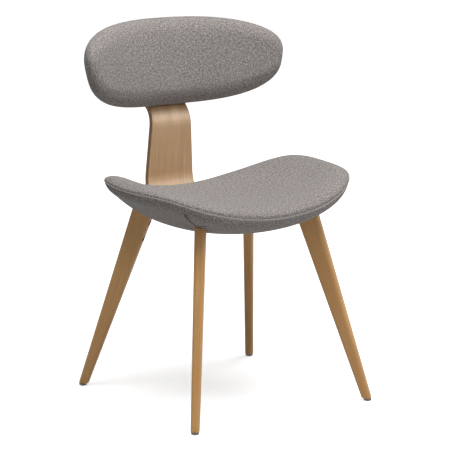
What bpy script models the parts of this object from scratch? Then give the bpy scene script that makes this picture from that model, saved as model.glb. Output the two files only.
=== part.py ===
# Upholstered dining chair: a padded saddle seat and an oval back on a bent plywood neck, four splayed legs.
# Metres, +Z up. The sitter faces -Y, and the floor is z = 0.
import math

import bmesh
import bpy
from mathutils import Matrix, Vector
from mathutils.bvhtree import BVHTree

# Clearances
GAP = 0.0003  # between two rigid pieces that touch
LAYER_GAP = 0.0007  # between two upholstery layers

# Seat form: two domes that meet at a seam, which follows a saddle
SEAT_WIDTH = 0.5450
SEAT_FRONT = 0.1998  # from the seat's middle to its front edge
SEAT_REAR = 0.1950  # from the seat's middle to its rear edge
FRONT_SQUARENESS = 2.68  # 2 is an ellipse, more is squarer
REAR_SQUARENESS = 2.30
SEAM_HEIGHT = 0.4247  # the seam's height at the middle of the front edge
WING_RISE = 0.0818  # how far the seam climbs from the middle to the wing tips
WING_SWEEP_SHARE = 0.120  # how much of the climb is left to the tips
SEAT_HOLLOW = 0.0180
REAR_DROP = 0.0068
REAR_WING_LIFT = 0.0227
SEAT_CROWN = 0.0290
CROWN_POWER = 16.0  # how late the crown falls away towards the seam
HULL_DEPTH = 0.0412
HULL_POWER = 1.8
REAR_HULL_POWER = 2.0
HULL_STEEPNESS = 0.31  # less is a steeper underside beside the seam
REAR_HULL_STEEPNESS = 1.0
HULL_SETBACK = 0.0450  # how far back the underside's deepest point lies
SEAM_GAP = 0.0004
SEAT_COVER = 0.0015
SEAT_SHELL = 0.0120
SHELL_RIM_LIFT = 0.0006  # keeps the foam off the shell's rim

# Back form
BACK_WIDTH = 0.5052
BACK_HEIGHT = 0.1968
BACK_THICKNESS = 0.0520
BACK_SQUARENESS = 2.742
BACK_EDGE = 0.0310  # how far in from the outline the rounded edge reaches
BACK_CROWN = 0.0040
BACK_TAPER_SHARE = 0.081  # how much wider the back is at its top
BACK_WRAP_RADIUS = 0.3571  # of the curve round the sitter
BACK_RECLINE = math.radians(12.2)
BACK_CENTRE_Y = 0.2370
BACK_CENTRE_Z = 0.7057
BACK_COVER = 0.0015
BACK_BOARD = 0.0108
BOARD_EASE = 0.0006  # eased edge of the board and the foam

# Neck: one bent plywood strip
NECK_THICKNESS = 0.0120
NECK_FOOT_WIDTH = 0.0900
NECK_WAIST_WIDTH = 0.1180
NECK_HEAD_WIDTH = 0.0950
NECK_FOOT_BELOW = 0.3800
NECK_WAIST_HEIGHT = 0.4300
NECK_HEAD_ABOVE = 0.6100
NECK_EDGE = 0.0012
WEB_FACE_Y = 0.2099  # the upright stretch's front face
WEB_FACE_Z = 0.5450
WEB_LEAN = math.radians(2.35)  # the upright stretch leans forward as it rises
KICK_ANGLE = math.radians(54.0)  # the stretch that runs back under the backrest
KICK_CLEARANCE = 0.0008  # from the kick to the back's rounded lower edge
LOWER_BEND = 0.0720
UPPER_BEND = 0.0580
HEAD_BEND = 0.0220
NECK_FOOT_FRONT = 0.0800
NECK_FOOT_TOUCH = 0.1150  # where the foot touches the seat's underside
NECK_HEAD_RISE = 0.0330  # how far above the back's middle the strip ends

# Legs: tapered boards in upright planes
LEG_SIDE_INSET = 0.1383  # from the seat's widest point in to the legs' middle lines, at the seam's height
LEG_FRONT_INSET = 0.0964  # from the seat's front edge in to the front legs, there
LEG_REAR_INSET = 0.0916  # from the seat's rear edge in to the rear legs, there
LEG_PLAN_ANGLE = math.radians(52.0)
LEG_SPLAY_ANGLE = math.radians(19.36)
LEG_FOOT_WIDTH = 0.0208
LEG_TOP_WIDTH = 0.0516
LEG_FOOT_THICKNESS = 0.0188
LEG_TOP_THICKNESS = 0.0240
LEG_TOP_LIFT = 0.0034  # from the seam up to the board's top, before the head is scribed to the seat
LEG_ROUNDING = 0.0072
FOOT_CHAMFER = 0.0010

# Glides
GLIDE_HEIGHT = 0.0045
GLIDE_RADIUS = 0.0086
GLIDE_FLAT = 0.0066
GLIDE_PIN_RADIUS = 0.0022
GLIDE_PIN_LENGTH = 0.0120

# Leg brackets
PLATE_LENGTH = 0.0460
PLATE_WIDTH = 0.0200
PLATE_THICKNESS = 0.0030
PLATE_INSET = 0.0045  # from the seat's underside in to the plate
TONGUE_WIDTH = 0.0130
TONGUE_THICKNESS = 0.0040
TONGUE_LENGTH = 0.0720
BRACKET_SCREW_PITCH = 0.0320

# Leg bolts, driven from each leg's inner edge
LEG_BOLT_DROP = 0.0195  # from the seat down to the upper bolt
LEG_BOLT_PITCH = 0.0385
LEG_BOLT_RADIUS = 0.0026
LEG_BOLT_PAST = 0.0040  # how far the bolt passes the tongue
LEG_HEAD_RADIUS = 0.0048
LEG_HEAD_HEIGHT = 0.0050
LEG_HEAD_RECESS = 0.0008
LEG_SOCKET_RADIUS = 0.0026

# Bracket screws, countersunk wood screws
SCREW_RADIUS = 0.0021
SCREW_HEAD_RADIUS = 0.0044
SCREW_HEAD_HEIGHT = 0.0022
SCREW_TIP_COVER = 0.0040  # the wood over a screw's tip

# Neck bolts, with wide low heads
NECK_BOLT_RADIUS = 0.0026
NECK_HEAD_RADIUS = 0.0070
NECK_HEAD_HEIGHT = 0.0030
NECK_SOCKET_RADIUS = 0.0022
NECK_BOLT_PAST = 0.0015  # how far the bolt passes its tee nut
SEAT_BOLT_SPREAD = 0.0640
SEAT_BOLT_FRONT = 0.0950
SEAT_BOLT_REAR = 0.1330
BACK_BOLT_SPREAD = 0.0500
BACK_BOLT_LOW = -0.0320
BACK_BOLT_HIGH = 0.0120

# Tee nuts
NUT_FLANGE_RADIUS = 0.0085
NUT_FLANGE_THICKNESS = 0.0013
NUT_BARREL_RADIUS = 0.0038
NUT_BARREL = 0.0065
NUT_SPOT_DEPTH = 0.0009  # the flange's seat, sunk in the wood
NUT_POCKET_HEIGHT = 0.0060  # room in the foam for the bolt's end

# Facets
RIM_SEGMENTS = 36
SEAT_RINGS = 6
BACK_RINGS = 8
ROUND_SHARE = 0.5  # the share of a back dome's rings that its rounded edge takes
TURNED_STEPS = 12
HIDDEN_STEPS = 8  # for the pieces and holes that the upholstery hides
GLIDE_STEPS = 16
BEND_STEPS = 6
NECK_COLUMNS = 2
EDGE_SAMPLES = 40  # points tried along the back's lower edge to clear it

# Sizes that follow from the ones above
SEAT_LAYER = SEAT_COVER + LAYER_GAP
LEG_SPLAY = math.tan(LEG_SPLAY_ANGLE)
LEG_TOP = SEAM_HEIGHT + LEG_TOP_LIFT
SCREW_LENGTH = SEAT_LAYER + SEAT_SHELL - PLATE_INSET - SCREW_TIP_COVER
BACK_LAYER = BACK_COVER + LAYER_GAP
BACK_SEAM = BACK_THICKNESS / 2 - BACK_LAYER - BACK_BOARD  # the seam runs round the board's front edge

COLOURS = {
    "grey_melange": ((0.262, 0.245, 0.238), 0.95, 0.0),
    "foam": ((0.80, 0.76, 0.62), 1.0, 0.0),
    "plywood": ((0.46, 0.31, 0.16), 0.60, 0.0),
    "oak": ((0.43, 0.24, 0.10), 0.45, 0.0),
    "zinc_steel": ((0.55, 0.56, 0.57), 0.35, 1.0),
    "black_steel": ((0.015, 0.015, 0.016), 0.40, 1.0),
    "grey_nylon": ((0.20, 0.20, 0.22), 0.55, 0.0),
}


def clear_scene():
    for obj in list(bpy.data.objects):
        bpy.data.objects.remove(obj, do_unlink=True)


def new_collection(name):
    collection = bpy.data.collections.new(name)
    bpy.context.scene.collection.children.link(collection)
    return collection


def new_material(name):
    colour, roughness, metallic = COLOURS[name]
    material = bpy.data.materials.new(name)
    material.use_nodes = True
    shader = material.node_tree.nodes["Principled BSDF"]
    shader.inputs["Base Color"].default_value = (*colour, 1.0)
    shader.inputs["Roughness"].default_value = roughness
    shader.inputs["Metallic"].default_value = metallic
    return material


# Scene helpers

def add_piece(name, mesh, material, smooth_angle=35.0):
    obj = bpy.data.objects.new(name, mesh)
    if not mesh.materials:
        mesh.materials.append(materials[material])
    mesh.shade_smooth()
    mesh.set_sharp_from_angle(angle=math.radians(smooth_angle))
    chair.objects.link(obj)
    obj.parent = chair_frame
    return obj


def add_cutter(name, mesh):
    obj = bpy.data.objects.new(name, mesh)
    cutters.objects.link(obj)
    obj.parent = chair_frame
    obj.hide_render = True
    obj.display_type = "WIRE"
    return obj


def boolean(obj, other, operation="DIFFERENCE"):
    modifier = obj.modifiers.new(operation.lower() + "_" + other.name, "BOOLEAN")
    modifier.operation = operation
    modifier.object = other
    modifier.solver = "EXACT"


def baked_mesh(obj):
    view = bpy.context.evaluated_depsgraph_get()
    mesh = bpy.data.meshes.new_from_object(obj.evaluated_get(view))
    bpy.data.objects.remove(obj, do_unlink=True)
    return mesh


def finish_mesh(bm, name, closed=True):
    if closed:
        bmesh.ops.recalc_face_normals(bm, faces=bm.faces)
    mesh = bpy.data.meshes.new(name)
    bm.to_mesh(mesh)
    bm.free()
    return mesh


def frame_matrix(origin, x_axis, z_axis):
    # A placement from an origin, a rough X direction and an exact Z direction.
    z_axis = z_axis.normalized()
    y_axis = z_axis.cross(x_axis).normalized()
    columns = Matrix((y_axis.cross(z_axis), y_axis, z_axis)).transposed()
    return Matrix.Translation(origin) @ columns.to_4x4()


def copies_mesh(name, mesh, places):
    # One mesh that holds a copy of another at each place.
    bm = bmesh.new()
    for place in places:
        copy = mesh.copy()
        copy.transform(place)
        bm.from_mesh(copy)
        bpy.data.meshes.remove(copy)
    return finish_mesh(bm, name)


def add_copies(names, mesh, places, material):
    for name, place in zip(names, places):
        add_piece(name, mesh, material).matrix_local = place


def box_mesh(name, size, centre=(0.0, 0.0, 0.0)):
    bm = bmesh.new()
    bmesh.ops.create_cube(bm, size=1.0, matrix=Matrix.Translation(centre) @ Matrix.Diagonal((*size, 1.0)))
    return finish_mesh(bm, name)


def turned_mesh(name, profile, closed=False, steps=TURNED_STEPS):
    # A profile of (radius, height) points, listed from the top down its outer side, turned about Z.
    bm = bmesh.new()
    verts = [bm.verts.new((radius, 0.0, height)) for radius, height in profile]
    for start, end in zip(verts, verts[1:]):
        bm.edges.new((start, end))
    if closed:
        bm.edges.new((verts[-1], verts[0]))
    mesh = bpy.data.meshes.new(name + "_profile")
    bm.to_mesh(mesh)
    bm.free()
    obj = bpy.data.objects.new(name, mesh)
    cutters.objects.link(obj)
    screw = obj.modifiers.new("turn", "SCREW")
    screw.steps = steps
    screw.render_steps = steps
    screw.use_merge_vertices = True
    screw.merge_threshold = 0.00001
    return baked_mesh(obj)


def socket_head_mesh(name, head_radius, head_height, shank_radius, length, socket_radius):
    # A round-headed bolt with its head above z = 0, its shank below, and a hexagon socket.
    ease = head_height * 0.2
    turned = turned_mesh(name + "_turned", [
        (0.0, head_height), (head_radius - ease, head_height), (head_radius, head_height - ease),
        (head_radius, 0.0), (shank_radius, 0.0), (shank_radius, -length), (0.0, -length)])
    bolt = bpy.data.objects.new(name, turned)
    cutters.objects.link(bolt)
    bm = bmesh.new()
    bmesh.ops.create_cone(
        bm, cap_ends=True, segments=6, radius1=socket_radius, radius2=socket_radius, depth=head_height,
        matrix=Matrix.Translation((0.0, 0.0, head_height * 0.9)))
    socket = add_cutter(name + "_socket", finish_mesh(bm, name + "_socket"))
    socket.parent = None
    boolean(bolt, socket)
    bpy.context.view_layer.update()
    mesh = baked_mesh(bolt)
    bpy.data.objects.remove(socket, do_unlink=True)
    return mesh


# Domes: the upholstered forms are pairs of half spheres, mapped onto the form and joined at their rims

def squircle(angle, squareness):
    cosine, sine = math.cos(angle), math.sin(angle)
    power = 2.0 / squareness
    return math.copysign(abs(cosine) ** power, cosine), math.copysign(abs(sine) ** power, sine)


def add_dome(bm, place, rings):
    # place gives a point for an angle round the rim and a rise from 0 at the rim to 1 at the pole.
    # The faces are split before they are moved, so that nested domes split alike.
    sphere = bmesh.ops.create_uvsphere(bm, u_segments=RIM_SEGMENTS, v_segments=2 * rings, radius=1.0)
    lower = [vert for vert in sphere["verts"] if vert.co.z < -0.001]
    upper = [vert for vert in sphere["verts"] if vert.co.z >= -0.001]
    bmesh.ops.delete(bm, geom=lower, context="VERTS")
    faces = {face for vert in upper for face in vert.link_faces}
    bmesh.ops.triangulate(bm, faces=list(faces), quad_method="FIXED")
    rim = {edge for vert in upper for edge in vert.link_edges if edge.is_boundary}
    for vert in upper:
        angle = math.atan2(vert.co.y, vert.co.x)
        rise = math.asin(min(1.0, max(0.0, vert.co.z))) / (math.pi / 2)
        vert.co = place(angle, rise)
    return rim


def domed_mesh(name, rings, *places):
    bm = bmesh.new()
    rims = [edge for place in places for edge in add_dome(bm, place, rings)]
    bmesh.ops.bridge_loops(bm, edges=rims)
    return finish_mesh(bm, name)


def surface_tree(place, rings):
    bm = bmesh.new()
    add_dome(bm, place, rings)
    bm.normal_update()
    tree = BVHTree.FromBMesh(bm)
    bm.free()
    return tree


def surface_hit(tree, origin, direction):
    point, normal, _, _ = tree.ray_cast(origin, direction)
    return point, -normal if normal.dot(direction) > 0.0 else normal


# Seat form

def seat_outline(angle, inset):
    front = math.sin(angle) < 0.0
    along, across = squircle(angle, FRONT_SQUARENESS if front else REAR_SQUARENESS)
    reach = SEAT_FRONT if front else SEAT_REAR
    return along * (SEAT_WIDTH / 2 - inset), across * (reach - inset)


def seat_level(x, y):
    # The height of the saddle that the seam lies on.
    side = (2 * x / SEAT_WIDTH) ** 2
    back = (y + SEAT_FRONT) / (SEAT_FRONT + SEAT_REAR)
    wings = WING_RISE * (side - WING_SWEEP_SHARE * (side - side ** 2)) + REAR_WING_LIFT * side * back
    return SEAM_HEIGHT + wings - REAR_DROP * back - 4 * SEAT_HOLLOW * back * (1 - back)


def seat_top(inset):
    def place(angle, rise):
        reach = math.cos(rise * math.pi / 2)
        x, y = (reach * value for value in seat_outline(angle, inset))
        return x, y, seat_level(x, y) + (SEAT_CROWN - inset) * (1 - reach ** CROWN_POWER)
    return place


def seat_underside(inset, rim_lift=0.0):
    def place(angle, rise):
        reach = math.cos(rise * math.pi / 2)
        x, y = (reach * value for value in seat_outline(angle, inset))
        rearness = max(0.0, math.sin(angle)) ** 2
        power = HULL_POWER + (REAR_HULL_POWER - HULL_POWER) * rearness
        steepness = HULL_STEEPNESS + (REAR_HULL_STEEPNESS - HULL_STEEPNESS) * rearness
        drop = (HULL_DEPTH - inset) * max(0.0, 1 - reach ** power) ** steepness
        lift = rim_lift * reach ** 8
        return x, y + HULL_SETBACK * (1 - reach), seat_level(x, y) - drop - SEAM_GAP + lift
    return place


# Back form: heights along the reclined panel, offsets across it, positive to the rear

BACK_UP = Vector((0.0, math.sin(BACK_RECLINE), math.cos(BACK_RECLINE)))
BACK_OUT = Vector((0.0, math.cos(BACK_RECLINE), -math.sin(BACK_RECLINE)))
BACK_CENTRE = Vector((0.0, BACK_CENTRE_Y, BACK_CENTRE_Z))


def back_place(x, height, offset):
    wrap = Vector((0.0, -x * x / (2 * BACK_WRAP_RADIUS), 0.0))
    return BACK_CENTRE + Vector((x, 0.0, 0.0)) + BACK_UP * height + BACK_OUT * offset + wrap


def back_outline(angle, inset, scale=1.0):
    along, up = squircle(angle, BACK_SQUARENESS)
    height = up * (BACK_HEIGHT / 2 - inset) * scale
    x = along * (BACK_WIDTH / 2 - inset) * scale * (1 + BACK_TAPER_SHARE * 2 * height / BACK_HEIGHT)
    return x, height


def back_crown(x, height):
    across = abs(2 * x / BACK_WIDTH) ** BACK_SQUARENESS
    up = abs(2 * height / BACK_HEIGHT) ** BACK_SQUARENESS
    return BACK_CROWN * max(0.0, 1 - (across + up) ** (2 / BACK_SQUARENESS))


def back_edge_inset(inset, tilt):
    return inset + (BACK_EDGE - inset) * (1 - math.cos(tilt))


def back_dome(inset, start, rear):
    # From the plane at offset start round the edge and over the front or the rear face.
    half = BACK_THICKNESS / 2 - inset
    first = math.asin(start / half)
    last = math.pi / 2 if rear else -math.pi / 2

    def place(angle, rise):
        tilt = first + (last - first) * min(1.0, rise / ROUND_SHARE)
        scale = 1 - max(0.0, rise - ROUND_SHARE) / (1 - ROUND_SHARE)
        x, height = back_outline(angle, back_edge_inset(inset, tilt), scale)
        crown = 0.0 if rear else back_crown(x, height)
        return back_place(x, height, half * math.sin(tilt) - crown)
    return place


def back_flat(inset, start, ease):
    # A face with no thickness of its own, at offset start, a little inside the form's outline there.
    half = BACK_THICKNESS / 2 - inset
    edge = back_edge_inset(inset, math.asin(start / half)) + ease

    def place(angle, rise):
        x, height = back_outline(angle, edge, 1 - rise)
        return back_place(x, height, start)
    return place


# Neck path, in the plane x = 0, as (y, z) points of the strip's front and upper face

def line_meeting(point_a, direction_a, point_b, direction_b):
    across = direction_a.x * direction_b.y - direction_a.y * direction_b.x
    between = point_b - point_a
    return point_a + direction_a * ((between.x * direction_b.y - between.y * direction_b.x) / across)


def rounded_path(points, radii):
    path = [points[0]]
    for before, corner, after, radius in zip(points, points[1:], points[2:], radii):
        back, ahead = (before - corner).normalized(), (after - corner).normalized()
        half = math.acos(max(-1.0, min(1.0, back.dot(ahead)))) / 2
        centre = corner + (back + ahead).normalized() * (radius / math.sin(half))
        start = corner + back * (radius / math.tan(half))
        end = corner + ahead * (radius / math.tan(half))
        first = math.atan2((start - centre).y, (start - centre).x)
        sweep = math.atan2((end - centre).y, (end - centre).x) - first
        sweep = (sweep + math.pi) % (2 * math.pi) - math.pi
        for step in range(BEND_STEPS + 1):
            angle = first + sweep * step / BEND_STEPS
            path.append(centre + radius * Vector((math.cos(angle), math.sin(angle))))
    return path + [points[-1]]


def neck_width(z):
    # Widest at the waist, just over the seat, and narrower towards the foot and the head.
    above = (z - NECK_WAIST_HEIGHT) / (NECK_HEAD_ABOVE - NECK_WAIST_HEIGHT)
    below = (NECK_WAIST_HEIGHT - z) / (NECK_WAIST_HEIGHT - NECK_FOOT_BELOW)
    if z > NECK_WAIST_HEIGHT:
        return NECK_WAIST_WIDTH + (NECK_HEAD_WIDTH - NECK_WAIST_WIDTH) * min(1.0, above)
    return NECK_WAIST_WIDTH + (NECK_FOOT_WIDTH - NECK_WAIST_WIDTH) * min(1.0, below)


def neck_lines(hull):
    # The four straight stretches of the strip's face: foot, web, kick and head, each a point and a direction.
    touch, normal = surface_hit(hull, Vector((0.0, NECK_FOOT_TOUCH, 0.0)), Vector((0.0, 0.0, 1.0)))
    touch += normal * GAP
    foot = (Vector((touch.y, touch.z)), Vector((-normal.z, normal.y)))
    web = (Vector((WEB_FACE_Y, WEB_FACE_Z)), Vector((-math.tan(WEB_LEAN), 1.0)))
    lower_edge = back_dome(0.0, 0.0, True)
    edge = [lower_edge(-math.pi / 2, ROUND_SHARE * step / EDGE_SAMPLES) for step in range(EDGE_SAMPLES + 1)]
    kick_reach = max(point.y - point.z * math.tan(KICK_ANGLE) for point in edge)
    kick_reach += KICK_CLEARANCE / math.cos(KICK_ANGLE)
    kick = (Vector((kick_reach, 0.0)), Vector((math.sin(KICK_ANGLE), math.cos(KICK_ANGLE))))
    rear_face = back_place(0.0, 0.0, BACK_THICKNESS / 2 + GAP)
    head = (Vector((rear_face.y, rear_face.z)), Vector((BACK_UP.y, BACK_UP.z)))
    return foot, web, kick, head


def make_neck(lines):
    foot, web, kick, head = lines
    tip = line_meeting(*foot, Vector((NECK_FOOT_FRONT, 0.0)), Vector((0.0, 1.0)))
    top = head[0] + head[1] * NECK_HEAD_RISE
    corners = [tip, line_meeting(*foot, *web), line_meeting(*web, *kick), line_meeting(*kick, *head), top]
    path = rounded_path(corners, (LOWER_BEND, UPPER_BEND, HEAD_BEND))
    bm = bmesh.new()
    bmesh.ops.create_grid(bm, x_segments=NECK_COLUMNS, y_segments=len(path) - 1, size=1.0)
    for vert in bm.verts:
        point = path[round((vert.co.y + 1) / 2 * (len(path) - 1))]
        vert.co = (vert.co.x * neck_width(point.y) / 2, point.x, point.y)
    neck = add_piece("neck", finish_mesh(bm, "neck", closed=False), "oak", 25.0)
    thickness = neck.modifiers.new("thickness", "SOLIDIFY")
    thickness.thickness = NECK_THICKNESS
    thickness.offset = -1.0
    thickness.use_even_offset = True
    edge = neck.modifiers.new("edge", "BEVEL")
    edge.width = NECK_EDGE
    edge.segments = 1
    edge.limit_method = "ANGLE"
    edge.angle_limit = math.radians(50.0)
    return neck


# Legs

def leg_half_width(z):
    return (LEG_FOOT_WIDTH + (LEG_TOP_WIDTH - LEG_FOOT_WIDTH) * z / LEG_TOP) / 2


def leg_mesh():
    # Local X points away from the seat, local Y runs across the board.
    bm = bmesh.new()
    bmesh.ops.create_cube(bm, size=2.0)
    weights = bm.edges.layers.float.new("bevel_weight_edge")
    foot = GLIDE_HEIGHT + GAP
    for edge in bm.edges:
        low = max(vert.co.z for vert in edge.verts) < 0
        rises = edge.verts[0].co.z != edge.verts[1].co.z
        edge[weights] = 1.0 if rises else (FOOT_CHAMFER / LEG_ROUNDING if low else 0.0)
    for vert in bm.verts:
        z = foot if vert.co.z < 0 else LEG_TOP
        thickness = LEG_FOOT_THICKNESS + (LEG_TOP_THICKNESS - LEG_FOOT_THICKNESS) * z / LEG_TOP
        vert.co = (-LEG_SPLAY * z + vert.co.x * leg_half_width(z), vert.co.y * thickness / 2, z)
    return finish_mesh(bm, "leg_board")


class LegPlace:
    # Where one leg stands, and the directions along and across it.
    def __init__(self, side, end, hull):
        self.turn = math.atan2(end * math.sin(LEG_PLAN_ANGLE), side * math.cos(LEG_PLAN_ANGLE))
        reach = SEAT_REAR - LEG_REAR_INSET if end > 0 else LEG_FRONT_INSET - SEAT_FRONT
        away = Vector((math.cos(self.turn), math.sin(self.turn), 0.0))
        up = Vector((0.0, 0.0, 1.0))
        self.foot = Vector((side * (SEAT_WIDTH / 2 - LEG_SIDE_INSET), reach, 0.0))
        self.foot += away * LEG_SPLAY * SEAM_HEIGHT
        self.along = (up - away * LEG_SPLAY).normalized()
        self.across = (away + up * LEG_SPLAY).normalized()
        spots = [self.foot + self.across * (step * PLATE_LENGTH / 2) for step in (-1, 0, 1)]
        hits = [surface_hit(hull, spot, self.along) for spot in spots]
        self.head = hits[1][0]
        self.seat_normal = sum((normal for _, normal in hits), Vector()).normalized()

    def bolt_points(self):
        # The points on the leg's middle line that the bolts pass, with the way out to the inner edge.
        for drop in (LEG_BOLT_DROP, LEG_BOLT_DROP + LEG_BOLT_PITCH):
            point = self.head - self.along * drop
            yield point, leg_half_width(point.z) * self.along.z


def make_leg(name, board, place, leg_cutters):
    leg = add_piece(name, board, "oak", 30.0)
    leg.location = place.foot
    leg.rotation_euler = (0.0, 0.0, place.turn)
    rounding = leg.modifiers.new("rounding", "BEVEL")
    rounding.width = LEG_ROUNDING
    rounding.segments = 3
    rounding.limit_method = "WEIGHT"
    for cutter in leg_cutters:
        boolean(leg, cutter)


def leg_bolt_places(place):
    # Frames with Z towards the heads, their origins under the heads.
    return [frame_matrix(point - place.across * (reach - LEG_HEAD_RECESS - LEG_HEAD_HEIGHT),
                         place.along, -place.across)
            for point, reach in place.bolt_points()]


def leg_bolt_length(place):
    reach = max(reach for _, reach in place.bolt_points())
    return reach - LEG_HEAD_RECESS - LEG_HEAD_HEIGHT + TONGUE_THICKNESS / 2 + LEG_BOLT_PAST


def leg_bolt_hole_mesh(length):
    radius, head = LEG_BOLT_RADIUS + GAP, LEG_HEAD_RADIUS + GAP
    top = LEG_HEAD_HEIGHT + LEG_HEAD_RECESS + 2 * LEG_BOLT_PAST
    return turned_mesh("leg_bolt_hole", [
        (0.0, top), (head, top), (head, -GAP), (radius, -GAP), (radius, -length - GAP), (0.0, -length - GAP)])


def bracket_frame(place):
    # The bracket plate's middle, with Z into the seat.
    inward = -place.seat_normal
    return frame_matrix(place.head + inward * (PLATE_INSET + PLATE_THICKNESS / 2), place.across, inward)


def make_bracket(name, place, bolt_holes, screw_holes):
    plate = box_mesh(name, (PLATE_LENGTH, PLATE_WIDTH, PLATE_THICKNESS))
    plate.transform(bracket_frame(place))
    top = (PLATE_INSET + PLATE_THICKNESS / 2) / place.along.dot(-place.seat_normal)
    tongue_size = (TONGUE_THICKNESS, TONGUE_WIDTH, TONGUE_LENGTH + top)
    tongue = box_mesh(name + "_tongue", tongue_size, (0.0, 0.0, (top - TONGUE_LENGTH) / 2))
    tongue.transform(frame_matrix(place.head, place.across, place.along))
    bracket = add_piece(name, plate, "zinc_steel", 30.0)
    boolean(bracket, add_cutter(name + "_tongue", tongue), "UNION")
    boolean(bracket, bolt_holes)
    boolean(bracket, screw_holes)


def tongue_slot_mesh(name, place):
    # Room for the tongue in the leg and through the seat's cover, up to the plate.
    clear = 2 * GAP
    length = TONGUE_LENGTH + GAP + PLATE_INSET
    size = (TONGUE_THICKNESS + clear, TONGUE_WIDTH + clear, length)
    slot = box_mesh(name, size, (0.0, 0.0, PLATE_INSET - length / 2))
    slot.transform(frame_matrix(place.head, place.across, place.along))
    return slot


def pocket_mesh():
    # Room for a bracket plate in the shell, open towards the seat's underside.
    clear = 2 * GAP
    depth = PLATE_THICKNESS + GAP + PLATE_INSET
    size = (PLATE_LENGTH + clear, PLATE_WIDTH + clear, depth)
    return box_mesh("pocket", size, (0.0, 0.0, PLATE_THICKNESS / 2 + GAP - depth / 2))


def bracket_screw_places(plate_frame):
    # Frames with Z up into the seat, their origins on the plate's lower face.
    return [plate_frame @ Matrix.Translation((step * BRACKET_SCREW_PITCH, 0.0, -PLATE_THICKNESS / 2))
            for step in (-0.5, 0.5)]


# Fasteners

def bracket_screw_mesh():
    head = SCREW_HEAD_RADIUS
    return turned_mesh("bracket_screw", [
        (0.0, SCREW_LENGTH), (SCREW_RADIUS, SCREW_LENGTH), (SCREW_RADIUS, SCREW_HEAD_HEIGHT),
        (head, GAP), (head, 0.0), (0.0, 0.0)], steps=HIDDEN_STEPS)


def bracket_screw_hole_mesh():
    radius, head = SCREW_RADIUS + GAP, SCREW_HEAD_RADIUS + GAP
    top = SCREW_LENGTH + GAP
    return turned_mesh("bracket_screw_hole", [
        (0.0, top), (radius, top), (radius, SCREW_HEAD_HEIGHT + GAP), (head, 2 * GAP), (head, -4 * GAP),
        (0.0, -4 * GAP)], steps=HIDDEN_STEPS)


def tee_nut_mesh():
    # The flange's underside is z = 0 and the barrel hangs below it.
    flange, top, bore = NUT_FLANGE_RADIUS, NUT_FLANGE_THICKNESS, NECK_BOLT_RADIUS + GAP
    return turned_mesh("tee_nut", [
        (bore, top), (flange, top), (flange, 0.0), (NUT_BARREL_RADIUS, 0.0),
        (NUT_BARREL_RADIUS, -NUT_BARREL), (bore, -NUT_BARREL)], closed=True, steps=HIDDEN_STEPS)


def nut_hole_mesh():
    # The barrel's hole, right through the wood, with the flange's spot face above it.
    barrel, flange = NUT_BARREL_RADIUS + GAP, NUT_FLANGE_RADIUS + GAP
    top, through = 4 * NUT_SPOT_DEPTH, 3 * SEAT_SHELL
    return turned_mesh("nut_hole", [
        (0.0, top), (flange, top), (flange, -GAP), (barrel, -GAP), (barrel, -through), (0.0, -through)],
        steps=HIDDEN_STEPS)


def foam_pocket_mesh():
    radius, low, high = NUT_FLANGE_RADIUS + 2 * GAP, -2 * NUT_SPOT_DEPTH, NUT_POCKET_HEIGHT
    return cylinder_mesh("foam_pocket", radius, low, high, HIDDEN_STEPS)


def cylinder_mesh(name, radius, low, high, steps=TURNED_STEPS):
    return turned_mesh(name, [(0.0, high), (radius, high), (radius, low), (0.0, low)], steps=steps)


def bolt_way_mesh():
    # A neck bolt's way through the strip and the cover that it lies on.
    return cylinder_mesh("bolt_way", NECK_BOLT_RADIUS + GAP, -SEAT_SHELL, 2 * NECK_THICKNESS)


def glide_mesh():
    height = GLIDE_HEIGHT
    return turned_mesh("glide", [
        (0.0, height + GLIDE_PIN_LENGTH), (GLIDE_PIN_RADIUS, height + GLIDE_PIN_LENGTH),
        (GLIDE_PIN_RADIUS, height), (GLIDE_RADIUS, height), (GLIDE_RADIUS, height * 0.4),
        (GLIDE_FLAT, 0.0), (0.0, 0.0)], steps=GLIDE_STEPS)


# Assemblies

CORNERS = {"front_left": (-1, -1), "front_right": (1, -1), "rear_left": (-1, 1), "rear_right": (1, 1)}


def nut_frame(surface, bolt):
    # A tee nut's frame where a bolt comes out of a wooden face, its flange sunk a little into the wood.
    direction = -bolt.col[2].xyz
    point, _ = surface_hit(surface, bolt.translation, direction)
    return frame_matrix(point - direction * NUT_SPOT_DEPTH, Vector((1.0, 0.0, 0.0)), direction)


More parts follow.
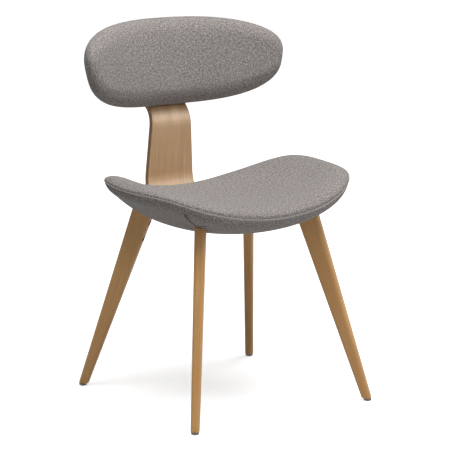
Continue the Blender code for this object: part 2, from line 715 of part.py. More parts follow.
def make_legs(hull):
    # The legs with their brackets, bolts, screws and glides. Gives what the seat makes room for.
    clearance = add_cutter(
        "seat_clearance", domed_mesh("seat_clearance", SEAT_RINGS, seat_top(-GAP), seat_underside(-GAP)))
    places = {name: LegPlace(side, end, hull) for name, (side, end) in CORNERS.items()}
    board, glide = leg_mesh(), glide_mesh()
    pin_hole = cylinder_mesh(
        "pin_hole", GLIDE_PIN_RADIUS + GAP, 0.0, GLIDE_HEIGHT + GLIDE_PIN_LENGTH + GAP)
    length = max(leg_bolt_length(place) for place in places.values())
    bolt_hole = leg_bolt_hole_mesh(length)
    bolt = socket_head_mesh(
        "leg_bolt", LEG_HEAD_RADIUS, LEG_HEAD_HEIGHT, LEG_BOLT_RADIUS, length, LEG_SOCKET_RADIUS)
    screw, screw_hole, pocket = bracket_screw_mesh(), bracket_screw_hole_mesh(), pocket_mesh()
    slots, plates, all_screws = [], [], []
    for name, place in places.items():
        foot = Matrix.Translation(place.foot)
        bolts = leg_bolt_places(place)
        bolt_holes = add_cutter(name + "_bolt_holes", copies_mesh("bolt_holes", bolt_hole, bolts))
        slot = add_cutter(name + "_slot", tongue_slot_mesh(name + "_slot", place))
        foot_hole = add_cutter(name + "_foot_hole", copies_mesh("foot_hole", pin_hole, [foot]))
        make_leg(name + "_leg", board, place, (clearance, slot, bolt_holes, foot_hole))
        add_copies([name + "_glide"], glide, [foot], "grey_nylon")
        add_copies([name + "_leg_bolt_upper", name + "_leg_bolt_lower"], bolt, bolts, "black_steel")
        plate = bracket_frame(place)
        screws = bracket_screw_places(plate)
        screw_holes = add_cutter(name + "_screw_holes", copies_mesh("screw_holes", screw_hole, screws))
        make_bracket(name + "_leg_bracket", place, bolt_holes, screw_holes)
        add_copies([name + "_bracket_screw_inner", name + "_bracket_screw_outer"], screw, screws, "zinc_steel")
        slots.append(slot)
        plates.append(plate)
        all_screws += screws
    pockets = add_cutter("plate_pockets", copies_mesh("plate_pockets", pocket, plates))
    screw_ways = add_cutter("screw_ways", copies_mesh("screw_ways", screw_hole, all_screws))
    return slots, pockets, screw_ways


def make_seat(slots, pockets, screw_ways, bolts):
    # bolts are the neck bolts' frames, with Z towards their heads. Gives their tee nuts' frames.
    layer = SEAT_LAYER
    inner_face = seat_underside(layer + SEAT_SHELL)
    add_piece("seat_top_cover", domed_mesh(
        "seat_top_cover", SEAT_RINGS, seat_top(0.0), seat_top(SEAT_COVER)), "grey_melange")
    under_cover = add_piece("seat_under_cover", domed_mesh(
        "seat_under_cover", SEAT_RINGS, seat_underside(0.0), seat_underside(SEAT_COVER)), "grey_melange")
    shell = add_piece("seat_shell", domed_mesh(
        "seat_shell", SEAT_RINGS, seat_underside(layer), inner_face), "plywood")
    foam = add_piece("seat_foam", domed_mesh(
        "seat_foam", SEAT_RINGS, seat_top(layer),
        seat_underside(layer + SEAT_SHELL + LAYER_GAP, SHELL_RIM_LIFT)), "foam")

    inner = surface_tree(inner_face, SEAT_RINGS)
    nuts = [nut_frame(inner, bolt) for bolt in bolts]
    boolean(shell, add_cutter("seat_nut_holes", copies_mesh("seat_nut_holes", nut_hole_mesh(), nuts)))
    boolean(shell, pockets)
    boolean(shell, screw_ways)
    boolean(foam, add_cutter("seat_nut_rooms", copies_mesh("seat_nut_rooms", foam_pocket_mesh(), nuts)))
    boolean(under_cover, add_cutter("seat_bolt_holes", copies_mesh(
        "seat_bolt_holes", bolt_way_mesh(), bolts)))
    for slot in slots:
        boolean(under_cover, slot)
    return nuts


def make_back(bolts):
    # bolts are the neck bolts' frames, with Z towards their heads. Gives their tee nuts' frames.
    layer = BACK_LAYER
    foam_face = BACK_SEAM - LAYER_GAP
    rear_start = BACK_SEAM + SEAM_GAP
    add_piece("back_front_cover", domed_mesh(
        "back_front_cover", BACK_RINGS, back_dome(0.0, BACK_SEAM, False),
        back_dome(BACK_COVER, BACK_SEAM, False)), "grey_melange")
    rear_cover = add_piece("back_rear_cover", domed_mesh(
        "back_rear_cover", BACK_RINGS, back_dome(0.0, rear_start, True),
        back_dome(BACK_COVER, rear_start, True)), "grey_melange")
    front_face = back_flat(layer, BACK_SEAM, BOARD_EASE)
    board = add_piece("back_board", domed_mesh(
        "back_board", BACK_RINGS, back_dome(layer, BACK_SEAM + BOARD_EASE, True), front_face), "plywood")
    foam = add_piece("back_foam", domed_mesh(
        "back_foam", BACK_RINGS, back_dome(layer, foam_face - BOARD_EASE, False),
        back_flat(layer, foam_face, BOARD_EASE)), "foam")

    front = surface_tree(front_face, BACK_RINGS)
    nuts = [nut_frame(front, bolt) for bolt in bolts]
    boolean(board, add_cutter("back_nut_holes", copies_mesh("back_nut_holes", nut_hole_mesh(), nuts)))
    boolean(foam, add_cutter("back_nut_rooms", copies_mesh("back_nut_rooms", foam_pocket_mesh(), nuts)))
    boolean(rear_cover, add_cutter("back_bolt_holes", copies_mesh(
        "back_bolt_holes", bolt_way_mesh(), bolts)))
    return nuts


def bolt_up(label, spots, bolts, nuts):
    # Bolts and tee nuts. The bolts' frames lie on the neck's face against the seat or the back.
    heads = [bolt @ Matrix.Translation((0.0, 0.0, NECK_THICKNESS + GAP)) for bolt in bolts]
    length = max((head.translation - nut.translation).length for head, nut in zip(heads, nuts))
    length += NUT_FLANGE_THICKNESS + NECK_BOLT_PAST
    bolt_mesh = socket_head_mesh(
        label + "_bolt", NECK_HEAD_RADIUS, NECK_HEAD_HEIGHT, NECK_BOLT_RADIUS, length, NECK_SOCKET_RADIUS)
    add_copies([label + "_bolt_" + spot for spot in spots], bolt_mesh, heads, "black_steel")
    add_copies([label + "_tee_nut_" + spot for spot in spots], tee_nut_mesh(), nuts, "zinc_steel")


def seat_bolt_frames(foot):
    # Frames on the strip's face under the seat, with Z down towards the bolts' heads.
    down = Vector((0.0, foot[1].y, -foot[1].x))
    frames = []
    for side in (-0.5, 0.5):
        for y in (SEAT_BOLT_FRONT, SEAT_BOLT_REAR):
            point = line_meeting(*foot, Vector((y, 0.0)), Vector((0.0, 1.0)))
            origin = Vector((side * SEAT_BOLT_SPREAD, point.x, point.y))
            frames.append(frame_matrix(origin, Vector((1.0, 0.0, 0.0)), down))
    return frames


def back_bolt_frames(head):
    # Frames on the strip's face behind the back, with Z to the rear.
    frames = []
    for side in (-0.5, 0.5):
        for height in (BACK_BOLT_LOW, BACK_BOLT_HIGH):
            point = head[0] + head[1] * height
            origin = Vector((side * BACK_BOLT_SPREAD, point.x, point.y))
            frames.append(frame_matrix(origin, Vector((1.0, 0.0, 0.0)), BACK_OUT))
    return frames


def centre_on_origin():
    # Puts the middle of the chair's whole outline, seen from above, over the origin.
    view = bpy.context.evaluated_depsgraph_get()
    ys = [(obj.matrix_world @ Vector(corner)).y
          for obj in chair.objects if obj.type == "MESH"
          for corner in obj.evaluated_get(view).bound_box]
    chair_frame.location.y = -(min(ys) + max(ys)) / 2


clear_scene()
materials = {name: new_material(name) for name in COLOURS}
chair = new_collection("upholstered_chair")
cutters = new_collection("cutters")
chair_frame = bpy.data.objects.new("chair_frame", None)
chair.objects.link(chair_frame)

hull_surface = surface_tree(seat_underside(0.0), SEAT_RINGS)
room_for_legs = make_legs(hull_surface)
neck_stretches = neck_lines(hull_surface)
seat_bolts, back_bolts = seat_bolt_frames(neck_stretches[0]), back_bolt_frames(neck_stretches[3])
neck = make_neck(neck_stretches)
boolean(neck, add_cutter("neck_holes", copies_mesh("neck_holes", bolt_way_mesh(), seat_bolts + back_bolts)))
seat_nuts = make_seat(*room_for_legs, seat_bolts)
back_nuts = make_back(back_bolts)
bolt_up("seat_neck", ("left_front", "left_rear", "right_front", "right_rear"), seat_bolts, seat_nuts)
bolt_up("back_neck", ("left_lower", "left_upper", "right_lower", "right_upper"), back_bolts, back_nuts)
bpy.context.view_layer.update()
centre_on_origin()
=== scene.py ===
# Looks for an upholstered dining chair with a bent plywood neck and four splayed oak legs.
# Metres, +Z up, in the frame's own place. The sitter faces -Y.
import math

import bmesh
import bpy
import numpy as np
from mathutils import Matrix, Vector, noise
from mathutils.bvhtree import BVHTree
from mathutils.kdtree import KDTree


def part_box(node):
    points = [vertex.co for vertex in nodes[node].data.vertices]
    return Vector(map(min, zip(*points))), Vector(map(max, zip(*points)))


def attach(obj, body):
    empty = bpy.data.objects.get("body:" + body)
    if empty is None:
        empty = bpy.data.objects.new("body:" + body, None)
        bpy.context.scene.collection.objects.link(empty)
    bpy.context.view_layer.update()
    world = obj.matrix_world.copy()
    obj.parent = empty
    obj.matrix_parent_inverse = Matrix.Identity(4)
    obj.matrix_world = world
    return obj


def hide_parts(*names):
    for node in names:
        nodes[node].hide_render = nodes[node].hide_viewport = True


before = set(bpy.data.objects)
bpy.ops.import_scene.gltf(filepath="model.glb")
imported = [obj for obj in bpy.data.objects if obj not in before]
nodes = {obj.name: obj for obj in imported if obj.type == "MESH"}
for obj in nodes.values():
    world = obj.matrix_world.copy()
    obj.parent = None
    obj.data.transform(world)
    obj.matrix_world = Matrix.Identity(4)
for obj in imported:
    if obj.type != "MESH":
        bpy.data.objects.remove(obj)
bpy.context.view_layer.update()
print("frame loaded:", len(nodes), "nodes")

corners = {"front_left": (-1, -1), "front_right": (1, -1), "rear_left": (-1, 1), "rear_right": (1, 1)}


def boxMiddle(node):
    low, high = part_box(node)
    return (low + high) / 2


middleY = sum(boxMiddle(name + "_glide").y for name in corners) / len(corners)  # between the feet

# Small helpers


def linear(colour):
    # "#rrggbb" to linear red, green, blue and alpha
    values = [int(colour[i:i + 2], 16) / 255 for i in (1, 3, 5)]
    return (*(v / 12.92 if v <= 0.04045 else ((v + 0.055) / 1.055) ** 2.4 for v in values), 1.0)


def setInputs(tree, node, inputs):
    # In order or by name: a value, another node's output, or a node, which gives its first output
    for key, value in inputs.items() if isinstance(inputs, dict) else enumerate(inputs):
        if isinstance(value, bpy.types.Node):
            value = value.outputs[0]
        if isinstance(value, bpy.types.NodeSocket):
            tree.links.new(value, node.inputs[key])
        else:
            node.inputs[key].default_value = value


def addNode(tree, kind, inputs=(), **settings):
    # A shader node's kind is written without ShaderNode
    node = tree.nodes.new(kind if "Node" in kind else "ShaderNode" + kind)
    for key, value in settings.items():
        setattr(node, key, value)
    setInputs(tree, node, inputs)
    return node


def setStops(ramp, places, colours):
    while len(ramp.elements) < len(places):
        ramp.elements.new(0.5)
    for element, place, colour in zip(ramp.elements, places, colours):
        element.position, element.color = place, linear(colour)


def newMaterial(name):
    made = bpy.data.materials.new(name)
    made.use_nodes = True
    return made, made.node_tree, made.node_tree.nodes["Principled BSDF"]


# Materials

cloth = {
    "yarn": 0.0021,  # a real yarn is about 1 mm, too fine to show from here, so it is drawn twice as coarse
    "stray": 0.0012, "strayLength": 0.01111,  # how far a yarn wanders, and over what length
    "fleck": 0.0034,  # the length of a light or dark tuft in the yarn
    "fleckAlong": 0.55, "fleckAcross": 1.3, "fleckGrit": 0.7,
    # the darkest tone below is painted shade, laid along the crease and the gap above the front left leg
    "dark": "#534e4b", "middle": "#928c89", "light": "#cac4c0", "creaseShade": "#16120f",
    "toneStops": (0.33, 0.5, 0.67),
    "gapShadeTone": 0.80, "gapShadeRise": 0.22,  # painted shade: the tone in the gaps between yarns, and what a yarn's top adds back
    "driftTone": 0.92, "driftRise": 0.16, "driftLength": 0.1111,
    "fuzz": 0.0003846, "fuzzGrit": 0.6, "fuzzRise": 0.7, "tuftRise": 0.9,
    "weaveDepth": 0.00035, "bump": 0.9,
    "roughness": 0.95, "specular": 0.25,
    "sheen": 0.25, "sheenRoughness": 0.45, "sheenTint": "#d8d4d0",
}


def makeCloth():
    # Wool-blend melange, flat woven and brushed: dry, no gloss, light and dark tufts, soft at the edges
    made, tree, shader = newMaterial("brushed_melange_cloth")
    uv = addNode(tree, "UVMap", uv_map="weave")
    shift = addNode(tree, "TexNoise", {"Vector": uv, "Scale": 1 / cloth["strayLength"]}).outputs["Color"]
    shift = addNode(tree, "VectorMath", (shift, (0.5, 0.5, 0.5)), operation="SUBTRACT")
    shift = addNode(tree, "VectorMath", {0: shift, "Scale": cloth["stray"]}, operation="SCALE")
    waves = addNode(tree, "VectorMath", (uv, shift), operation="ADD")
    waves = addNode(tree, "VectorMath", {0: waves, "Scale": math.pi / cloth["yarn"]}, operation="SCALE")
    waves = addNode(tree, "VectorMath", (waves,), operation="SINE")
    warp, weft, _ = addNode(tree, "SeparateXYZ", (waves,)).outputs
    over = addNode(tree, "Math", (warp, weft), operation="MULTIPLY")
    over = addNode(tree, "Math", (over, 0.0), operation="GREATER_THAN")
    rises = addNode(tree, "VectorMath", (waves,), operation="ABSOLUTE")
    warp, weft, _ = addNode(tree, "SeparateXYZ", (rises,)).outputs
    rise = addNode(tree, "Mix", {0: over, 2: weft, 3: warp}, data_type="FLOAT")
    # Tufts run along the yarn that lies on top
    long, short = cloth["fleckAlong"] / cloth["fleck"], cloth["fleckAcross"] / cloth["fleck"]
    tufts = []
    for scale in ((long, short, 1.0), (short, long, 1.0)):
        place = addNode(tree, "Mapping", {"Vector": uv, "Scale": scale})
        tufts.append(addNode(tree, "TexNoise", {
            "Vector": place, "Scale": 1.0, "Detail": 3.0, "Roughness": cloth["fleckGrit"]}))
    tuft = addNode(tree, "Mix", {0: over, 2: tufts[0], 3: tufts[1]}, data_type="FLOAT")
    colour = addNode(tree, "ValToRGB", (tuft,))
    setStops(colour.color_ramp, cloth["toneStops"], (cloth["dark"], cloth["middle"], cloth["light"]))
    # Painted shade makes the gaps between yarns a little darker, and the whole cloth drifts in tone
    weaveShade = addNode(tree, "Math", (rise, cloth["gapShadeRise"], cloth["gapShadeTone"]), operation="MULTIPLY_ADD")
    drift = addNode(tree, "TexNoise", {"Vector": uv, "Scale": 1 / cloth["driftLength"]})
    drift = addNode(tree, "Math", (drift, cloth["driftRise"], cloth["driftTone"]), operation="MULTIPLY_ADD")
    for tone in (weaveShade, drift):
        colour = addNode(tree, "Mix", {0: 1.0, 6: colour, 7: tone}, data_type="RGBA",
                         blend_type="MULTIPLY").outputs[2]
    # Painted shade: the colour darkens along the crease and the gap above the front left leg, where light
    # doesn't reach; a piece without this attribute has none
    creaseShadeShare = addNode(tree, "Attribute", attribute_name="crease").outputs["Fac"]
    colour = addNode(tree, "Mix", {0: creaseShadeShare, 6: colour, 7: linear(cloth["creaseShade"])},
                     data_type="RGBA").outputs[2]
    fuzz = addNode(tree, "TexNoise", {
        "Vector": uv, "Scale": 1 / cloth["fuzz"], "Roughness": cloth["fuzzGrit"]})
    height = addNode(tree, "Math", (fuzz, cloth["fuzzRise"], rise), operation="MULTIPLY_ADD")
    height = addNode(tree, "Math", (tuft, cloth["tuftRise"], height), operation="MULTIPLY_ADD")
    bump = addNode(tree, "Bump", {
        "Height": height, "Distance": cloth["weaveDepth"], "Strength": cloth["bump"]})
    setInputs(tree, shader, {
        "Base Color": colour, "Normal": bump, "Roughness": cloth["roughness"],
        "Specular IOR Level": cloth["specular"], "Sheen Weight": cloth["sheen"],
        "Sheen Roughness": cloth["sheenRoughness"], "Sheen Tint": linear(cloth["sheenTint"])})
    return made


oak = {
    "dark": "#bb8a50", "middle": "#c6955a", "light": "#d1a267", "pore": "#a57443",
    "coat": 0.05, "coatRoughness": 0.35,
}
veneer = {
    "dark": "#bd966b", "middle": "#c7a176", "light": "#d3b188", "pore": "#ad845c",
    "coat": 1.0, "coatRoughness": 0.28,  # a full coat of lacquer, which shines on the bends
}
wood = {
    "line": 0.0044, "lineLength": 0.12, "lineShare": 0.55,  # two growth lines, and their share of the tone
    "band": 0.022, "bandLength": 0.24, "bandShare": 0.45,  # bands of ten lines
    "wave": 0.03333, "waveLength": 0.25, "waveShare": 0.16,  # slow changes of tone
    "toneStops": (0.34, 0.5, 0.64),
    "pore": 0.001, "poreLength": 0.006, "poreStops": (0.60, 0.70), "poreShare": 0.45,
    "depth": 0.00012, "bump": 0.5,
    "roughness": 0.46, "roughnessSpread": 0.2,
}


def grainColour(tree, shader, vector, tones):
    # vector is in metres with the grain along its Z
    made = {}
    for name in ("line", "band", "wave", "pore"):
        across, along = 1 / wood[name], 1 / wood[name + "Length"]
        place = addNode(tree, "Mapping", {"Vector": vector, "Scale": (across, across, along)})
        made[name] = addNode(tree, "TexNoise", {"Vector": place, "Scale": 1.0})
    setInputs(tree, made["line"], {"Detail": 3.0, "Roughness": 0.6})
    grain = -wood["waveShare"] / 2
    for name in ("wave", "band", "line"):
        grain = addNode(tree, "Math", (made[name], wood[name + "Share"], grain), operation="MULTIPLY_ADD")
    colour = addNode(tree, "ValToRGB", (grain,))
    setStops(colour.color_ramp, wood["toneStops"], (tones["dark"], tones["middle"], tones["light"]))
    pores = addNode(tree, "MapRange", (made["pore"], *wood["poreStops"]))
    darker = addNode(tree, "Math", (pores, wood["poreShare"]), operation="MULTIPLY")
    colour = addNode(tree, "Mix", {0: darker, 6: colour, 7: linear(tones["pore"])},
                     data_type="RGBA").outputs[2]
    height = addNode(tree, "Math", (grain, 0.5), operation="MULTIPLY")
    height = addNode(tree, "Math", (height, pores), operation="SUBTRACT")
    bump = addNode(tree, "Bump", {"Height": height, "Distance": wood["depth"], "Strength": wood["bump"]})
    spread = wood["roughnessSpread"]
    rough = addNode(tree, "Math", (grain, spread, wood["roughness"] - spread / 2),
                    operation="MULTIPLY_ADD")
    setInputs(tree, shader, {
        "Base Color": colour, "Normal": bump, "Roughness": rough,
        "Coat Weight": tones["coat"], "Coat Roughness": tones["coatRoughness"]})


def makeLegOak(name, turn, tilt):
    # Solid oak, sanded and satin lacquered: fine straight grain along the leg, short pores, a soft shine
    made, tree, shader = newMaterial("lacquered_oak_" + name)
    place = addNode(tree, "TexCoord").outputs["Object"]
    for spin in ((0.0, 0.0, -turn), (0.0, tilt, 0.0)):
        place = addNode(tree, "Mapping", {"Vector": place, "Rotation": spin})
    grainColour(tree, shader, place, oak)
    return made


def makeVeneer():
    # Oak face veneer on bent plywood: the grain runs along the strip, so it follows the piece's own map
    made, tree, shader = newMaterial("oak_face_veneer")
    uv = addNode(tree, "UVMap", uv_map="strip")
    across, along, _ = addNode(tree, "SeparateXYZ", (uv,)).outputs
    grainColour(tree, shader, addNode(tree, "CombineXYZ", (across, 0.0, along)), veneer)
    return made


ply = {
    "pitch": 0.0013,  # the thickness of one layer
    "stray": 0.0004, "strayLength": 0.05,  # how far a layer wanders, and over what length
    "streak": 0.001111, "streakLength": 0.01667, "streakShare": 0.5,
    "layerTone": 0.25, "layerShare": 0.3,
    "dark": "#5d4026", "light": "#a9814f", "toneStops": (0.25, 0.75),
    "depth": 0.0001, "bump": 0.5, "roughness": 0.6,
}


def makePlyEdge():
    # The sanded edge of the plywood: thin layers, every other one end grain and darker
    made, tree, shader = newMaterial("sanded_ply_edge")
    uv = addNode(tree, "UVMap", uv_map="strip")
    stray = addNode(tree, "TexNoise", {"Vector": uv, "Scale": 1 / ply["strayLength"]})
    across = addNode(tree, "SeparateXYZ", (uv,)).outputs[0]
    across = addNode(tree, "Math", (stray, ply["stray"], across), operation="MULTIPLY_ADD")
    layers = addNode(tree, "Math", (across, math.pi / ply["pitch"]), operation="MULTIPLY")
    layers = addNode(tree, "Math", (layers,), operation="SINE")
    layers = addNode(tree, "Math", (layers, ply["layerShare"], ply["layerTone"]), operation="MULTIPLY_ADD")
    scale = (1 / ply["streak"], 1 / ply["streakLength"], 1.0)
    streak = addNode(tree, "Mapping", {"Vector": uv, "Scale": scale})
    streak = addNode(tree, "TexNoise", {"Vector": streak, "Scale": 1.0, "Detail": 3.0, "Roughness": 0.6})
    tone = addNode(tree, "Math", (streak, ply["streakShare"], layers), operation="MULTIPLY_ADD")
    colour = addNode(tree, "ValToRGB", (tone,))
    setStops(colour.color_ramp, ply["toneStops"], (ply["dark"], ply["light"]))
    bump = addNode(tree, "Bump", {"Height": tone, "Distance": ply["depth"], "Strength": ply["bump"]})
    setInputs(tree, shader, {"Base Color": colour, "Normal": bump, "Roughness": ply["roughness"]})
    return made


plain = {
    # dark and light tone, size of the mottling, roughness, metallic
    "raw_plywood": ("#9c7a50", "#c2a073", 0.01667, 0.75, 0.0),  # cut and not lacquered: dry and blotchy
    "moulded_grey_nylon": ("#76757a", "#8d8c90", 0.001111, 0.5, 0.0),  # fine spark texture, half matt
    "black_oxide_steel": ("#0c0c0d", "#1d1d1f", 0.0007143, 0.42, 0.6),  # oiled: black with a dull gleam
    "zinc_plated_steel": ("#8f9194", "#b9bcc0", 0.0014286, 0.38, 1.0),  # bright, with a fine crystal grain
    "seam_thread_and_highlight": ("#b5ada7", "#cbc3bc", 0.0004, 0.85, 0.0),  # hairy, no gloss; its tone lighter than the cloth is a painted highlight along the seam's roll
}
mottling = {
    "detail": 4.0, "grit": 0.6, "toneStops": (0.3, 0.7),
    "roughnessSpread": 0.2, "depth": 0.00005, "bump": 0.5,
}


def makePlain(name):
    dark, light, size, roughness, metallic = plain[name]
    made, tree, shader = newMaterial(name)
    mottle = addNode(tree, "TexNoise", {
        "Vector": addNode(tree, "TexCoord").outputs["Object"], "Scale": 1 / size,
        "Detail": mottling["detail"], "Roughness": mottling["grit"]})
    colour = addNode(tree, "ValToRGB", (mottle,))
    setStops(colour.color_ramp, mottling["toneStops"], (dark, light))
    spread = mottling["roughnessSpread"]
    rough = addNode(tree, "Math", (mottle, spread, roughness - spread / 2), operation="MULTIPLY_ADD")
    bump = addNode(tree, "Bump", {
        "Height": mottle, "Distance": mottling["depth"], "Strength": mottling["bump"]})
    setInputs(tree, shader, {"Base Color": colour, "Normal": bump, "Roughness": rough, "Metallic": metallic})
    return made


clothMaterial, veneerMaterial, plyEdgeMaterial = makeCloth(), makeVeneer(), makePlyEdge()
plywoodMaterial, nylonMaterial, blackMaterial, zincMaterial, threadAndHighlightMaterial = map(makePlain, plain)
print("materials made")

# Meshes


def addObject(name, data):
    obj = bpy.data.objects.new(name, data)
    bpy.context.scene.collection.objects.link(obj)
    return obj


def meshPiece(name, points, faces, material):
    mesh = bpy.data.meshes.new(name)
    mesh.from_pydata([tuple(p) for p in points], [], faces)
    mesh.update()
    mesh.materials.append(material)
    mesh.shade_smooth()
    return addObject(name, mesh)


def tubeFaces(rings, count):
    # Quads between rings that have count points each
    around = [(i, (i + 1) % count) for i in range(count)]
    return [(r * count + i, r * count + j, (r + 1) * count + j, (r + 1) * count + i)
            for r in range(rings - 1) for i, j in around]


def readPoints(mesh):
    values = np.zeros(len(mesh.vertices) * 3, np.float32)
    mesh.vertices.foreach_get("co", values)
    return values.reshape(-1, 3).astype(float)


def applyModifiers(obj):
    view = bpy.context.evaluated_depsgraph_get()
    mesh = bpy.data.meshes.new_from_object(obj.evaluated_get(view))
    obj.modifiers.clear()
    old, obj.data = obj.data, mesh
    bpy.data.meshes.remove(old)


def outwards(obj):
    bm = bmesh.new()
    bm.from_mesh(obj.data)
    bmesh.ops.recalc_face_normals(bm, faces=bm.faces)
    if bm.calc_volume(signed=True) < 0:  # a bowl can come out inside out
        bmesh.ops.reverse_faces(bm, faces=bm.faces)
    bm.to_mesh(obj.data)
    bm.free()


def discGrid(columns, rows):
    # A grid of quads stretched over a disc: each point's angle and its reach from 0 to 1 at the rim.
    u, v = np.meshgrid(np.linspace(-1, 1, columns + 1), np.linspace(-1, 1, rows + 1))
    x, y = u * np.sqrt(1 - v * v / 2), v * np.sqrt(1 - u * u / 2)
    return np.arctan2(y, x).ravel(), np.minimum(1.0, np.hypot(x, y)).ravel()


def rimOrder(columns, rows):
    wide = columns + 1
    bottom = list(range(columns))
    right = [r * wide + columns for r in range(rows)]
    top = [rows * wide + c for c in range(columns, 0, -1)]
    left = [r * wide for r in range(rows, 0, -1)]
    return bottom + right + top + left


def mapWeave(obj, outer, angles, reaches):
    # A flat cut of the cloth: each point lies as far from the middle as the cloth between them is long.
    steps, count = 24, len(angles)
    length = np.zeros(count)
    before = outer(angles, np.zeros(count))
    middle = before[0]
    for step in range(1, steps + 1):
        here = outer(angles, reaches * step / steps)
        length += np.linalg.norm(here - before, axis=1)
        before = here
    flat = before - middle
    across, along = flat[:, 0], flat @ np.array(outer.along)
    size = np.maximum(1e-6, np.hypot(across, along))
    cut = np.stack([across / size * length, along / size * length], axis=1)
    rest = readPoints(obj.data)[count:]
    cut = np.vstack([cut, np.stack([rest[:, 0], (rest - middle) @ np.array(outer.along)], axis=1)])
    layer = obj.data.uv_layers.new(name="weave")
    owners = np.zeros(len(obj.data.loops), np.int32)
    obj.data.loops.foreach_get("vertex_index", owners)
    layer.data.foreach_set("uv", cut[owners].astype(np.float32).ravel())
    return np.ptp(cut[:count], axis=0)


def closedForm(name, outer, inner, columns, rows, innerReaches, material):
    # A cushion or a cover: a fine outer face, and a plainer inner face that joins it at the rim.
    angles, reaches = discGrid(columns, rows)
    points = [outer(angles, reaches)]
    wide = columns + 1
    faces = [(r * wide + c, r * wide + c + 1, (r + 1) * wide + c + 1, (r + 1) * wide + c)
             for r in range(rows) for c in range(columns)]
    rim = rimOrder(columns, rows)
    rimAngles = angles[rim]
    last, start = rim, len(angles)
    for reach in innerReaches:
        points.append(inner(rimAngles, np.full(len(rim), reach)))
        ring = list(range(start, start + len(rim)))
        faces += [(last[i], last[i - 1], ring[i - 1], ring[i]) for i in range(len(rim))]
        last, start = ring, start + len(rim)
    points.append(inner(rimAngles[:1], np.zeros(1)))
    faces += [(last[i], last[i - 1], start) for i in range(len(rim))]
    obj = meshPiece(name, np.vstack(points), faces, material)
    outwards(obj)
    cut = mapWeave(obj, outer, angles, reaches)
    area = sum(face.area for face in obj.data.polygons[:rows * columns])
    return obj, reaches, (float(cut[0]), float(cut[1]), area)


padding = {
    "voxel": 0.0055, "pressure": 4.0, "frames": 20,
    "cap": 0.0018,  # how far the simulation may move a point
    "free": 0.78, "held": 0.96,  # the cover moves freely inside the first reach, and not past the second
    "neighbours": 6,  # points of the coarse copy that a point of the fine cover follows
    "dent": 0.0007, "dentSize": 0.075,  # how uneven hand filling leaves it, and from one dent to the next
    "fill": 0.85,
}


def nearestPoints(points):
    tree = KDTree(len(points))
    for index, point in enumerate(points):
        tree.insert(point, index)
    tree.balance()
    return tree


def swellMoves(piece, reaches, fine):
    # A coarse copy swells under pressure, with its rim and its flat side held
    tree = nearestPoints(fine)
    coarse = piece.copy()
    coarse.data = piece.data.copy()
    scene = bpy.context.scene
    scene.collection.objects.link(coarse)
    remesh = coarse.modifiers.new("voxels", "REMESH")
    remesh.mode, remesh.voxel_size = "VOXEL", padding["voxel"]
    applyModifiers(coarse)
    start = readPoints(coarse.data)
    held = coarse.vertex_groups.new(name="held")
    nearest = [tree.find(point)[1] for point in start]
    still = [i for i, near in enumerate(nearest) if near >= len(reaches) or reaches[near] > padding["held"]]
    held.add(still, 1.0, "REPLACE")
    swell = coarse.modifiers.new("swell", "CLOTH")
    swell.settings.use_pressure = True
    swell.settings.uniform_pressure_force = padding["pressure"]
    swell.settings.effector_weights.gravity = 0.0
    swell.settings.vertex_group_mass = held.name
    swell.point_cache.frame_start, swell.point_cache.frame_end = 1, padding["frames"]
    for number in range(1, padding["frames"] + 1):
        scene.frame_set(number)
    applyModifiers(coarse)
    moves = readPoints(coarse.data) - start
    scene.frame_set(1)
    bpy.data.meshes.remove(coarse.data)  # takes its object with it
    length = np.maximum(1e-9, np.linalg.norm(moves, axis=1, keepdims=True))
    moves *= np.minimum(1.0, padding["cap"] / length)
    tree = nearestPoints(start)
    found = np.zeros((len(reaches), 3))
    for index in range(len(reaches)):
        near = tree.find_n(fine[index], padding["neighbours"])
        weights = np.array([1 / (distance + padding["voxel"]) for _, _, distance in near])
        found[index] = weights @ moves[[i for _, i, _ in near]] / weights.sum()
    print(piece.name, "swelled by up to", round(float(np.linalg.norm(moves, axis=1).max()) * 1000, 1), "mm")
    return found


def plump(piece, reaches):
    # The fine cover follows the swelling, less its mean, because the form already has the filled height
    fine = readPoints(piece.data)
    count = len(reaches)
    normals = np.zeros(len(fine) * 3, np.float32)
    piece.data.vertices.foreach_get("normal", normals)
    normals = normals.reshape(-1, 3)[:count]
    free = np.clip((padding["held"] - reaches) / (padding["held"] - padding["free"]), 0.0, 1.0)
    free = free * free * (3 - 2 * free)
    dents = np.array([noise.noise(Vector(point) / padding["dentSize"]) for point in fine[:count]])
    moves = normals * (dents * padding["dent"])[:, None]
    swelled = swellMoves(piece, reaches, fine)
    mean = np.average(np.sum(swelled * normals, axis=1), weights=free)
    moves = moves + swelled - mean * normals
    fine[:count] += moves * free[:, None]
    piece.data.vertices.foreach_set("co", fine.astype(np.float32).ravel())
    piece.data.update()


thread = {
    # drawn coarser than real stitches, so that the row shows as the seam's light line, a painted highlight
    "pitch": 0.0046, "length": 0.0044, "radius": 0.0008,
    "stand": 0.0015,  # how far the row stands out of the drawn-in seam
    "beadSides": 8, "beadRings": 5,
    "steps": 360,  # points of the seam line that the stitches follow
}


